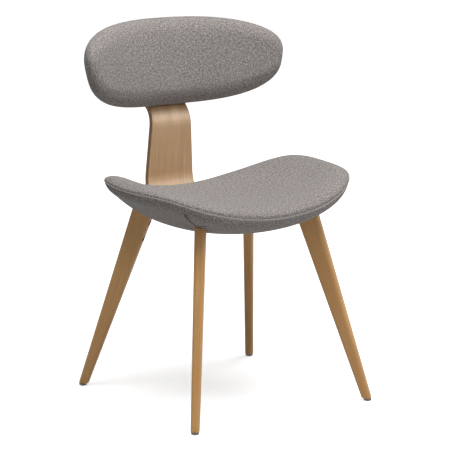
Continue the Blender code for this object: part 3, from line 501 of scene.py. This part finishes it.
def makeStitchTree(material):
    # One drawn-out bead for each stitch, set along the seam line at an even pitch
    tree = bpy.data.node_groups.new("seam_stitches", "GeometryNodeTree")
    tree.interface.new_socket("Geometry", in_out="INPUT", socket_type="NodeSocketGeometry")
    for label in ("Pitch", "Stitch Length", "Thread Radius"):
        tree.interface.new_socket(label, in_out="INPUT", socket_type="NodeSocketFloat")
    tree.interface.new_socket("Geometry", in_out="OUTPUT", socket_type="NodeSocketGeometry")
    given = addNode(tree, "NodeGroupInput").outputs
    line = addNode(tree, "GeometryNodeMeshToCurve", {"Mesh": given["Geometry"]})
    even = addNode(tree, "GeometryNodeResampleCurve", {"Curve": line, "Length": given["Pitch"]},
                   mode="LENGTH")
    bead = addNode(tree, "GeometryNodeMeshUVSphere", {
        "Segments": thread["beadSides"], "Rings": thread["beadRings"], "Radius": 1.0})
    half = addNode(tree, "Math", (given["Stitch Length"], 0.5), operation="MULTIPLY")
    size = addNode(tree, "CombineXYZ", (given["Thread Radius"], given["Thread Radius"], half))
    tangent = addNode(tree, "GeometryNodeInputTangent")
    turned = addNode(tree, "FunctionNodeAlignRotationToVector", {"Vector": tangent}, axis="Z")
    row = addNode(tree, "GeometryNodeInstanceOnPoints", {
        "Points": even, "Instance": bead, "Rotation": turned, "Scale": size})
    solid = addNode(tree, "GeometryNodeRealizeInstances", {"Geometry": row})
    smooth = addNode(tree, "GeometryNodeSetShadeSmooth", {"Geometry": solid})
    sewn = addNode(tree, "GeometryNodeSetMaterial", {"Geometry": smooth, "Material": material})
    addNode(tree, "NodeGroupOutput", {"Geometry": sewn})
    return tree


def sewSeam(name, rim, tree):
    count = thread["steps"]
    line = rim(np.arange(count) / count * 2 * math.pi, np.ones(count))
    outward = line - line.mean(axis=0)
    line += outward / np.linalg.norm(outward, axis=1, keepdims=True) * thread["stand"]
    mesh = bpy.data.meshes.new(name)
    mesh.from_pydata(line.tolist(), [(i, (i + 1) % count) for i in range(count)], [])
    seam = addObject(name, mesh)
    row = seam.modifiers.new("stitches", "NODES")
    row.node_group = tree
    sizes = {"Pitch": thread["pitch"], "Stitch Length": thread["length"], "Thread Radius": thread["radius"]}
    for socket in tree.interface.items_tree:
        if socket.name in sizes:
            row[socket.identifier] = sizes[socket.name]
    applyModifiers(seam)
    print(name, "has", len(seam.data.polygons), "faces")
    return seam


stitchTree = makeStitchTree(threadAndHighlightMaterial)

# Seat

seat = {
    "frontPower": 2.68, "rearPower": 2.30,  # 2 is an ellipse, more is squarer
    "seamHeight": 0.4247, "wingRise": 0.0818, "wingSweep": 0.120,
    "hollow": 0.0180, "rearDrop": 0.0068, "rearWingLift": 0.0240,
    "crown": 0.0290, "crownPower": 16.0,
    "hullDepth": 0.0412, "hullPower": 1.8, "rearHullPower": 2.0, "hullSetback": 0.0450,
    "steepness": 0.31, "rearSteepness": 1.0,  # less is a steeper underside beside the seam
    "cover": 0.0015, "layerGap": 0.0007, "shell": 0.0120,
    "seamGap": 0.0004,  # how far the under cover starts below the seam
    "tuck": 0.0016, "tuckWidth": 0.0022,  # how far the seam pulls in, and over what width
    "welt": 0.0010, "weltWidth": 0.0042,  # how far the cloth rolls up beside the seam
    "overhang": 0.0010, "overhangWidth": 0.0040,  # how far that roll stands out over the under cover
    "underTuck": 0.0014, "underTuckWidth": 0.0060,
    "tipDroop": 0.0150, "tipShare": 0.82,  # the wings' tips hang, outside this share of the half width
    "tipEase": 0.0050, "easeShare": 0.75,  # and their padding thins
    # a pull in the under cover towards the front left leg, then along the leg's top; shade is also painted
    # into the cloth's colour along this line
    "crease": ((-0.2040, -0.1490), (-0.1675, -0.1295), (-0.1630, -0.1255), (-0.1525, -0.1495)),
    "creaseDepth": 0.0013, "creaseWidth": 0.0022,
    "cells": (264, 192), "boardCells": (88, 64),
    "crowding": 0.75,  # how strongly the cells of a seamed face crowd towards the rim
    "cushionRings": (0.985, 0.96, 0.85, 0.6, 0.3), "coverRings": (0.999, 0.99, 0.96, 0.85, 0.6, 0.3),
}
seatLow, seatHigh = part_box("seat_top_cover")
seatHalf = (seatHigh.x - seatLow.x) / 2
seatFront, seatRear = middleY - seatLow.y, seatHigh.y - middleY


def seatOutline(angle, inset=0.0):
    power = np.where(np.sin(angle) < 0, seat["frontPower"], seat["rearPower"])
    depth = np.where(np.sin(angle) < 0, seatFront, seatRear)
    cosine, sine = np.cos(angle), np.sin(angle)
    radius = (np.abs(cosine) ** power + np.abs(sine) ** power) ** (-1 / power)
    return radius * cosine * (seatHalf - inset), radius * sine * (depth - inset)


def seatLevel(x, y):
    side = (x / seatHalf) ** 2
    back = (y + seatFront) / (seatFront + seatRear)
    wings = seat["wingRise"] * (side - seat["wingSweep"] * (side - side ** 2))
    droop = seat["tipDroop"] * outerShare(x, seat["tipShare"]) ** 2
    wings = wings + seat["rearWingLift"] * side * back - droop
    return seat["seamHeight"] + wings - seat["rearDrop"] * back - 4 * seat["hollow"] * back * (1 - back)


def outerShare(x, start):
    # 0 inside the share start of the half width, and 1 at the tip
    return np.clip((np.abs(x) / seatHalf - start) / (1 - start), 0.0, 1.0)


def drawnIn(away, size, width):
    return size * np.exp(-(away / width) ** 2)


def rolledOut(away, size, width):
    # A roll of cloth beside a seam, fullest this width away from it
    return size * away / width * np.exp(1 - away / width)


def creaseShare(x, y):
    # 1 on the crease's line, 0 away from it: the groove's depth and the share of painted shade
    share = np.zeros(np.shape(x))
    for (startX, startY), (endX, endY) in zip(seat["crease"], seat["crease"][1:]):
        runX, runY = endX - startX, endY - startY
        along = np.clip(((x - startX) * runX + (y - startY) * runY) / (runX ** 2 + runY ** 2), 0.0, 1.0)
        away = np.hypot(x - startX - along * runX, y - startY - along * runY)
        share = np.maximum(share, drawnIn(away, 1.0, seat["creaseWidth"]))
    return share


def crowdReach(reach):
    share = seat["crowding"]
    return (1 - share) * reach + share * np.sin(reach * math.pi / 2)


def seatTop(angle, reach):
    reach = crowdReach(reach)
    rimX, rimY = seatOutline(angle)
    radius = np.hypot(rimX, rimY)
    x, y = rimX * reach, rimY * reach
    crown = seat["crown"] - seat["tipEase"] * outerShare(x, seat["easeShare"])
    z = seatLevel(x, y) + crown * (1 - reach ** seat["crownPower"])
    away = (1 - reach) * radius
    draw = drawnIn(away, seat["tuck"], seat["tuckWidth"])
    draw = draw - rolledOut(away, seat["overhang"], seat["overhangWidth"])
    x, y = x - draw * rimX / radius, y - draw * rimY / radius
    return np.stack([x, y + middleY, z + rolledOut(away, seat["welt"], seat["weltWidth"])], axis=1)


seatTop.along = (0.0, 1.0, 0.0)


def seatUnder(inset, seamed=False):
    def place(angle, reach):
        if seamed:
            reach = crowdReach(reach)
        rimX, rimY = seatOutline(angle, inset)
        radius = np.hypot(rimX, rimY)
        x, y = rimX * reach, rimY * reach
        power = np.where(np.sin(angle) < 0, seat["frontPower"], seat["rearPower"])
        sine, cosine = np.abs(np.sin(angle)) ** power, np.abs(np.cos(angle)) ** power
        rearness = np.where(np.sin(angle) > 0, sine / (sine + cosine), 0.0)
        hullPower = seat["hullPower"] + (seat["rearHullPower"] - seat["hullPower"]) * rearness
        steepness = seat["steepness"] + (seat["rearSteepness"] - seat["steepness"]) * rearness
        drop = (seat["hullDepth"] - inset) * np.maximum(0.0, 1 - reach ** hullPower) ** steepness
        z = seatLevel(x, y) - drop - seat["seamGap"]
        setback = seat["hullSetback"] * (1 - reach)
        if seamed:
            draw = drawnIn((1 - reach) * radius, seat["underTuck"], seat["underTuckWidth"])
            x, y = x - draw * rimX / radius, y - draw * rimY / radius
            z = z + seat["creaseDepth"] * creaseShare(x, y + setback)
        return np.stack([x, y + setback + middleY, z], axis=1)
    place.along = (0.0, 1.0, 0.0)
    return place


shellIn = seat["cover"] + seat["layerGap"]
foamFloor = shellIn + seat["shell"] + seat["layerGap"]
seatCushion, seatReaches, _ = closedForm(
    "seat_cushion", seatTop, seatUnder(foamFloor), *seat["cells"], seat["cushionRings"], clothMaterial)
plump(seatCushion, seatReaches)
seatCover, coverReaches, seatCut = closedForm(
    "seat_under_cover_cloth", seatUnder(0.0, True), seatUnder(seat["cover"]), *seat["cells"],
    seat["coverRings"], clothMaterial)
# Painted shade along the crease and the leg's top, kept in the under cover's crease attribute
coverPoints = readPoints(seatCover.data)[:len(coverReaches)]
creaseShadeMask = np.zeros(len(seatCover.data.vertices), np.float32)
creaseShadeMask[:len(coverReaches)] = creaseShare(coverPoints[:, 0], coverPoints[:, 1] - middleY)
seatCover.data.attributes.new("crease", "FLOAT", "POINT").data.foreach_set("value", creaseShadeMask)
seatBoard, _, _ = closedForm(
    "seat_shell_board", seatUnder(shellIn), seatUnder(shellIn + seat["shell"]), *seat["boardCells"],
    seat["coverRings"], plywoodMaterial)
seatSeam = sewSeam("seat_seam_stitches", seatTop, stitchTree)
print("seat made")

# Back

back = {
    "width": 0.5052, "height": 0.1942, "thickness": 0.0520, "power": 2.82,
    "edge": 0.0310, "crown": 0.0040, "taper": 0.081, "wrapRadius": 0.3571,
    "recline": math.radians(12.2), "centre": (0.2367, 0.7045),
    "cover": 0.0015, "layerGap": 0.0007, "board": 0.0108,
    "flatShare": 0.56,  # the share of the cells that the flat part of a face takes
    "tuck": 0.0014, "tuckWidth": 0.0020, "welt": 0.0006, "weltWidth": 0.0036,
    "rimDepth": 0.14,  # about the length of cloth from the middle of a face to its seam
    "seamGap": 0.0004,  # between the two covers
    "foamEase": 0.0006,  # how much smaller the foam is than its cover
    "cells": (132, 84), "rings": (1.0, 0.9, 0.6, 0.3),
}
backUp = np.array((0.0, math.sin(back["recline"]), math.cos(back["recline"])))
backOut = np.array((0.0, math.cos(back["recline"]), -math.sin(back["recline"])))
backCentre = np.array((0.0, back["centre"][0] + middleY, back["centre"][1]))
backSeam = back["thickness"] / 2 - back["cover"] - back["layerGap"] - back["board"]


def backPlace(x, height, offset):
    wrap = -x * x / (2 * back["wrapRadius"])
    points = backCentre + np.outer(height, backUp) + np.outer(offset, backOut)
    points[:, 0] += x
    points[:, 1] += wrap
    return points


def backOutline(angle, inset, scale):
    cosine, sine = np.cos(angle), np.sin(angle)
    radius = (np.abs(cosine) ** back["power"] + np.abs(sine) ** back["power"]) ** (-1 / back["power"])
    height = radius * sine * (back["height"] / 2 - inset) * scale
    taper = 1 + back["taper"] * 2 * height / back["height"]
    return radius * cosine * (back["width"] / 2 - inset) * scale * taper, height


def backFace(inset, start, rear, seamed=False):
    # From the middle of the front or the rear face, round the edge to the seam at offset start
    half = back["thickness"] / 2 - inset
    first = math.asin(start / half)
    last = math.pi / 2 if rear else -math.pi / 2

    def place(angle, reach):
        flat = np.minimum(1.0, reach / back["flatShare"])
        bend = np.maximum(0.0, reach - back["flatShare"]) / (1 - back["flatShare"])
        tilt = last + (first - last) * bend
        draw = 0.0
        if seamed:
            away = (1 - reach) * back["rimDepth"]
            draw = drawnIn(away, back["tuck"], back["tuckWidth"])
            draw = draw - rolledOut(away, back["welt"], back["weltWidth"])
        edge = inset + (back["edge"] - inset) * (1 - np.cos(tilt)) + draw
        x, height = backOutline(angle, edge, flat)
        offset = half * np.sin(tilt)
        if not rear:
            across = np.abs(2 * x / back["width"]) ** back["power"]
            up = np.abs(2 * height / back["height"]) ** back["power"]
            offset = offset - back["crown"] * np.maximum(0.0, 1 - (across + up) ** (2 / back["power"]))
        return backPlace(x, height, offset)
    place.along = tuple(backUp)
    return place


def backFlat(inset, start):
    half = back["thickness"] / 2 - inset
    edge = inset + (back["edge"] - inset) * (1 - math.cos(math.asin(start / half))) + back["foamEase"]

    def place(angle, reach):
        x, height = backOutline(angle, edge, reach)
        return backPlace(x, height, np.full(len(x), start))
    return place


backFront, rearSeam = backFace(0.0, backSeam, False, True), backSeam + back["seamGap"]
backCushion, backReaches, _ = closedForm(
    "back_cushion", backFront, backFlat(back["cover"] + back["layerGap"], backSeam), *back["cells"],
    back["rings"], clothMaterial)
plump(backCushion, backReaches)
backPanel, _, backCut = closedForm(
    "back_rear_cover_cloth", backFace(0.0, rearSeam, True, True), backFace(back["cover"], rearSeam, True),
    *back["cells"], back["rings"], clothMaterial)
backSeamLine = sewSeam("back_seam_stitches", backFront, stitchTree)
print("back made")

# Neck

neck = {
    "thickness": 0.0120, "footWidth": 0.0900, "waistWidth": 0.1230, "headWidth": 0.0980,
    "footBelow": 0.3800, "waistHeight": 0.4300, "headAbove": 0.6100,  # heights where those widths hold
    "webLean": math.radians(2.35), "kickAngle": math.radians(54.0),
    "bends": (0.0720, 0.0580, 0.0220),  # lower, upper and head
    "footFront": 0.0800, "headRise": 0.0330,
    "edgeRadius": 0.0015, "edgeSteps": 4, "faceColumns": 14, "edgeColumns": 4, "step": 0.003,
    "endEase": 0.0008,  # how far the two cut ends are eased
    "footCorner": 0.0140,  # the radius of the foot's two corners
    "gap": 0.0003,  # between the head and the back's cover
    "flatness": 0.999, "footFlatness": 0.9,  # the least cosine between a flat and the way it should look
    "sharpAngle": math.radians(50.0),
}


def neckWidth(height):
    waist = neck["waistHeight"]
    if height > waist:
        far, share = neck["headWidth"], (height - waist) / (neck["headAbove"] - waist)
    else:
        far, share = neck["footWidth"], (waist - height) / (waist - neck["footBelow"])
    return neck["waistWidth"] + (far - neck["waistWidth"]) * min(1.0, share)


def neckLine(towards, above, flatness):
    # A flat stretch of the strip's front and upper face, read from the frame, in the plane x = 0
    flats = [p for p in nodes["neck"].data.polygons
             if p.normal.dot(towards) > flatness and (p.center.z > seat["seamHeight"]) == above]
    flat = max(flats, key=lambda p: p.area)
    return Vector((flat.center.y, flat.center.z)), Vector((-flat.normal.z, flat.normal.y)).normalized()


def meeting(lineA, lineB):
    (a, da), (b, db) = lineA, lineB
    across = da.x * db.y - da.y * db.x
    return a + da * (((b - a).x * db.y - (b - a).y * db.x) / across)


def roundedPath(points, radii, step):
    # Straight runs joined by arcs, as points at about even steps
    path = [points[0]]

    def run(to):
        start = path[-1]
        count = max(1, round((to - start).length / step))
        path.extend(start + (to - start) * (i / count) for i in range(1, count + 1))

    for before, corner, after, radius in zip(points, points[1:], points[2:], radii):
        behind, ahead = (before - corner).normalized(), (after - corner).normalized()
        half = math.acos(max(-1.0, min(1.0, behind.dot(ahead)))) / 2
        centre = corner + (behind + ahead).normalized() * (radius / math.sin(half))
        reach = radius / math.tan(half)
        start, end = corner + behind * reach, corner + ahead * reach
        run(start)
        first = math.atan2((start - centre).y, (start - centre).x)
        sweep = math.atan2((end - centre).y, (end - centre).x) - first
        sweep = (sweep + math.pi) % (2 * math.pi) - math.pi
        count = max(4, round(abs(sweep) * radius / step))
        for i in range(1, count + 1):
            angle = first + sweep * i / count
            path.append(centre + radius * Vector((math.cos(angle), math.sin(angle))))
    run(points[-1])
    return path


def roundedLoop(halfX, halfY, radius, cornerSteps, sideSteps, firstCorner=0):
    # A rectangle with round corners, as points (x, y, does a side along X follow). Corner 0 is at +X +Y.
    arcs = []
    for corner in range(firstCorner, firstCorner + 5):
        signX, signY = ((1, 1), (-1, 1), (-1, -1), (1, -1))[corner % 4]
        angles = [(corner + i / cornerSteps) * math.pi / 2 for i in range(cornerSteps + 1)]
        arcs.append([(signX * (halfX - radius) + radius * math.cos(angle),
                      signY * (halfY - radius) + radius * math.sin(angle)) for angle in angles])
    loop = []
    for corner, (arc, after) in enumerate(zip(arcs, arcs[1:]), firstCorner):
        (startX, startY), (endX, endY) = arc[-1], after[0]
        steps = sideSteps[corner % 2]
        loop += [(x, y, False) for x, y in arc[:-1]]
        loop += [(startX + (endX - startX) * i / steps, startY + (endY - startY) * i / steps, corner % 2 == 0)
                 for i in range(steps)]
    return loop


def stripSection(width, inset=0.0):
    # The strip's section, from its front left corner round: (x, depth, is it a face)
    half = neck["thickness"] / 2
    loop = roundedLoop(width / 2 - inset, half - inset, neck["edgeRadius"], neck["edgeSteps"],
                       (neck["faceColumns"], neck["edgeColumns"]), 2)
    return [(x, y + half, face) for x, y, face in loop]


def makeNeck():
    kick, lean, flatness = neck["kickAngle"], neck["webLean"], neck["flatness"]
    web = neckLine(Vector((0.0, -math.cos(lean), -math.sin(lean))), True, flatness)
    under = neckLine(Vector((0.0, -math.cos(kick), math.sin(kick))), True, flatness)
    head = neckLine(Vector(-backOut), True, flatness)
    foot = neckLine(Vector((0.0, 0.0, 1.0)), False, neck["footFlatness"])
    tip = meeting(foot, (Vector((neck["footFront"] + middleY, 0.0)), Vector((0.0, 1.0))))
    rise = Vector((backUp[1], backUp[2]))
    rearFace = backPlace(np.zeros(1), np.zeros(1), np.array([back["thickness"] / 2 + neck["gap"]]))[0]
    top = meeting(head, (Vector(rearFace[1:]) + rise * neck["headRise"], Vector((rise.y, -rise.x))))
    path = roundedPath([tip, meeting(foot, web), meeting(web, under), meeting(under, head), top],
                       neck["bends"], neck["step"])
    points, marks = [], []
    length, final, ease = 0.0, len(path) - 1, neck["endEase"]
    rings = [0] + list(range(len(path))) + [final]
    for number, i in enumerate(rings):
        here = path[i]
        ahead = (path[min(i + 1, final)] - path[max(i - 1, 0)]).normalized()
        out = Vector((ahead.y, -ahead.x))
        length += (here - path[rings[max(number - 1, 0)]]).length
        capped = number in (0, len(rings) - 1)
        step = 0.0 if capped or 0 < i < final else ease if i == 0 else -ease
        corner = neck["footCorner"]
        trim = corner - math.sqrt(corner ** 2 - max(0.0, corner - length) ** 2)
        for x, depth, _ in stripSection(neckWidth(here.y) - 2 * trim, ease if capped else 0.0):
            point = here + ahead * step + out * depth
            points.append((x, point.x, point.y))
            marks.append((x, depth, length))
    loop = stripSection(neck["footWidth"])
    count = len(loop)
    faces = tubeFaces(len(rings), count)
    slots = [0 if face else 1 for _, _, face in loop] * (len(rings) - 1)
    faces += [tuple(range(count)), tuple(range(len(points) - count, len(points)))]
    slots += [1, 1]
    piece = meshPiece("neck_strip", points, faces, veneerMaterial)
    piece.data.materials.append(plyEdgeMaterial)
    layer = piece.data.uv_layers.new(name="strip")
    for polygon, slot in zip(piece.data.polygons, slots):
        polygon.material_index = slot
        for loopIndex in polygon.loop_indices:
            x, depth, along = marks[piece.data.loops[loopIndex].vertex_index]
            capped = polygon.index >= len(faces) - 2
            layer.data[loopIndex].uv = (depth, x) if capped else (depth, along) if slot else (x, along)
    outwards(piece)
    piece.data.set_sharp_from_angle(angle=neck["sharpAngle"])
    return piece


neckStrip = makeNeck()
print("neck made")

# Legs

leg = {
    "planAngle": math.radians(52.0), "splay": math.radians(19.36),
    "footWidth": 0.0208, "topWidth": 0.0516, "footThickness": 0.0188, "topThickness": 0.0240,
    "top": 0.4281, "rounding": 0.0072, "foot": 0.0048, "footRounding": 0.0028,
    "topGap": 0.0013,  # the dark line between a leg and the cloth
    "cornerSteps": 9, "sideSteps": 5, "rings": 30, "footSteps": 4,
    "boreRadius": 0.0072, "boreDepth": 0.0062, "boreSides": 40, "cutterLength": 0.02,
    "headTop": 0.0002,  # points this near a bolt's highest one lie on its head's face
    "sharpAngle": math.radians(35.0),
}


def legSection(z, inset):
    share = z / leg["top"]
    halfWidth = (leg["footWidth"] + (leg["topWidth"] - leg["footWidth"]) * share) / 2 - inset
    halfThick = (leg["footThickness"] + (leg["topThickness"] - leg["footThickness"]) * share) / 2 - inset
    steps = leg["sideSteps"]
    return roundedLoop(halfWidth, halfThick, leg["rounding"] - inset, leg["cornerSteps"], (steps, steps))


def makeLeg(name, side, end, tree):
    turn = math.atan2(end * math.sin(leg["planAngle"]), side * math.cos(leg["planAngle"]))
    glide = boxMiddle(name + "_glide")
    splay = math.tan(leg["splay"])
    place = Matrix.Translation((glide.x, glide.y, 0.0)) @ Matrix.Rotation(turn, 4, "Z")

    def ringPoints(z, inset):
        return [place @ Vector((x - splay * z, y, z)) for x, y, _ in legSection(z, inset)]

    low, high = ringPoints(leg["foot"] + leg["footRounding"], 0.0), ringPoints(leg["top"], 0.0)
    tops = []
    for a, b in zip(low, high):
        direction = (b - a).normalized()
        hit, _, _, _ = tree.ray_cast(a, direction)
        tops.append(hit - direction * leg["topGap"])
    points = []
    for ring in range(leg["footSteps"]):
        angle = math.pi / 2 * ring / leg["footSteps"]
        points += ringPoints(leg["foot"] + leg["footRounding"] * (1 - math.cos(angle)),
                             leg["footRounding"] * (1 - math.sin(angle)))
    for ring in range(leg["rings"] + 1):
        share = ring / leg["rings"]
        points += [a + (b - a) * share for a, b in zip(low, tops)]
    count = len(low)
    faces = tubeFaces(leg["rings"] + leg["footSteps"] + 1, count)
    faces.append(tuple(range(count)))
    head = len(points)
    points.append(sum(tops, Vector()) / count)
    faces += [(head - count + i, head - count + (i + 1) % count, head) for i in range(count)]
    piece = meshPiece("oak_leg_" + name, points, faces, makeLegOak(name, turn, leg["splay"]))
    outwards(piece)

    # Counterbores for the two bolts on the inner edge
    inner = (Matrix.Rotation(turn, 3, "Z") @ Vector((-1.0, 0.0, -splay))).normalized()
    for which in ("upper", "lower"):
        bolt = np.array([v.co for v in nodes[f"{name}_leg_bolt_{which}"].data.vertices])
        reach = bolt @ np.array(inner)
        top = Vector(bolt[reach > reach.max() - leg["headTop"]].mean(axis=0))
        bm = bmesh.new()
        centre = top + inner * (leg["cutterLength"] / 2 - leg["boreDepth"])
        turned = inner.to_track_quat("Z", "Y").to_matrix().to_4x4()
        bmesh.ops.create_cone(bm, cap_ends=True, segments=leg["boreSides"], radius1=leg["boreRadius"],
                              radius2=leg["boreRadius"], depth=leg["cutterLength"],
                              matrix=Matrix.Translation(centre) @ turned)
        mesh = bpy.data.meshes.new("bore")
        bm.to_mesh(mesh)
        bm.free()
        mesh.materials.append(blackMaterial)  # the bore's walls take the bolts' black steel finish, as painted shade that darkens the recess
        cutter = addObject("bore", mesh)
        cut = piece.modifiers.new("bore", "BOOLEAN")
        cut.object, cut.solver, cut.material_mode = cutter, "EXACT", "TRANSFER"
        bpy.context.view_layer.update()
        applyModifiers(piece)
        bpy.data.meshes.remove(mesh)
    piece.data.set_sharp_from_angle(angle=leg["sharpAngle"])
    return piece


underside = BVHTree.FromObject(seatCover, bpy.context.evaluated_depsgraph_get())
legs = {name: makeLeg(name, side, end, underside) for name, (side, end) in corners.items()}
print("legs made")

# Finishes on the frame's own nodes, and what stands for what

finishes = {"glide": nylonMaterial, "tee_nut": zincMaterial, "bracket": zincMaterial, "bolt": blackMaterial,
            "back_board": plywoodMaterial}
for name, node in nodes.items():
    finish = next((made for word, made in finishes.items() if word in name), None)
    if finish:
        node.data.materials.clear()
        node.data.materials.append(finish)

stands = [
    (seatCushion, "grey_melange", ("seat_top_cover", "seat_foam")),
    (seatCover, "grey_melange", ("seat_under_cover",)),
    (backCushion, "grey_melange", ("back_front_cover", "back_foam")),
    (backPanel, "grey_melange", ("back_rear_cover",)),
    (neckStrip, "oak", ("neck",)),
    (seatBoard, "plywood", ("seat_shell",)),
    (seatSeam, "grey_melange", ()),
    (backSeamLine, "grey_melange", ()),
]
stands += [(piece, "oak", (name + "_leg",)) for name, piece in legs.items()]
for piece, slot, replaced in stands:
    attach(piece, "root")
    if replaced:
        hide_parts(*replaced)
carried = ((seatCover, seatCut, "seat_shell"), (backPanel, backCut, "back_board"))
for cover, (width, length, area), carrier in carried:
    print(cover.name, "cut", round(width, 3), "by", round(length, 3), "m,", round(area, 4), "square metres")

# Studio: the camera, five soft lamps, a pale floor

studio = {
    "camera": (-2.71764, -3.88043, 1.37252), "lens": 179.48, "sensor": 36.0,
    "right": (0.82003992, -0.57225493, 0.00766968), "up": (0.11174193, 0.17324059, 0.97852003),
    "back": (-0.56129161, -0.80156846, 0.20600907), "clip": (0.1, 60.0),
    "world": 0.04, "floorSize": 30.0, "floorDrop": 0.0005, "floor": "#fafafa", "floorBounce": "#c6c6c6",
    "floorGlow": 0.66, "glowNear": 0.6, "glowFar": 2.2,
    "aimHeight": 0.5, "lampDistance": 3.0, "lampSize": 1.6,
    # each lamp's turn from the front towards +X and its height as angles in degrees, then its watts
    "lamps": {"high_front": (0, 68, 35.0), "high_left": (-70, 68, 37.0), "high_right": (70, 68, 38.0),
              "side_right": (40, 23, 17.0), "front": (-25, 36, 9.0)},
}


def seenDirectly(tree):
    path = addNode(tree, "LightPath").outputs
    return addNode(tree, "Math", (path["Is Camera Ray"], path["Is Glossy Ray"]), operation="MAXIMUM")


def makeStudio():
    scene = bpy.context.scene
    scene.view_settings.view_transform = "Standard"
    lens = bpy.data.cameras.new("camera")
    lens.lens, lens.sensor_width = studio["lens"], studio["sensor"]
    lens.clip_start, lens.clip_end = studio["clip"]
    scene.camera = addObject("camera", lens)
    axes = Matrix((studio["right"], studio["up"], studio["back"])).transposed()
    place = Vector(studio["camera"]) + Vector((0.0, middleY, 0.0))
    scene.camera.matrix_world = Matrix.Translation(place) @ axes.to_4x4()

    aim = Vector((0.0, middleY, studio["aimHeight"]))
    for name, (turn, height, watts) in studio["lamps"].items():
        lamp = bpy.data.lights.new(name, "AREA")
        lamp.shape, lamp.size, lamp.energy = "DISK", studio["lampSize"], watts
        turn, height = math.radians(turn), math.radians(height)
        level = math.cos(height)
        towards = Vector((math.sin(turn) * level, -math.cos(turn) * level, math.sin(height)))
        place = Matrix.Translation(aim + towards * studio["lampDistance"])
        turned = towards.to_track_quat("Z", "Y").to_matrix().to_4x4()
        addObject(name, lamp).matrix_world = place @ turned

    world = bpy.data.worlds.new("studio")
    world.use_nodes = True
    tree = world.node_tree
    tree.nodes.clear()
    white = (1.0, 1.0, 1.0, 1.0)
    strength = addNode(tree, "Math", (seenDirectly(tree), 1.0 - studio["world"], studio["world"]),
                       operation="MULTIPLY_ADD")
    sky = addNode(tree, "Background", {"Color": white, "Strength": strength})
    addNode(tree, "OutputWorld", {"Surface": sky})
    scene.world = world

    bpy.ops.mesh.primitive_plane_add(size=studio["floorSize"], location=(0.0, 0.0, -studio["floorDrop"]))
    floor = bpy.context.object
    floor.name = "floor"
    made, tree, shader = newMaterial("floor_paper")
    seen = seenDirectly(tree)
    paper = addNode(tree, "Mix", {
        0: seen, 6: linear(studio["floorBounce"]), 7: linear(studio["floor"])}, data_type="RGBA").outputs[2]
    # The lamps reach only the floor near the chair, so the paper glows more further out
    place = addNode(tree, "TexCoord").outputs["Object"]
    away = addNode(tree, "VectorMath", (place,), operation="LENGTH").outputs["Value"]
    glow = addNode(tree, "MapRange", (
        away, studio["glowNear"], studio["glowFar"], studio["floorGlow"], 1.0))
    glow = addNode(tree, "Math", (seen, glow), operation="MULTIPLY")
    setInputs(tree, shader, {
        "Base Color": paper, "Emission Strength": glow, "Emission Color": white,
        "Roughness": 1.0, "Specular IOR Level": 0.0})
    floor.data.materials.append(made)


makeStudio()
bpy.context.view_layer.update()
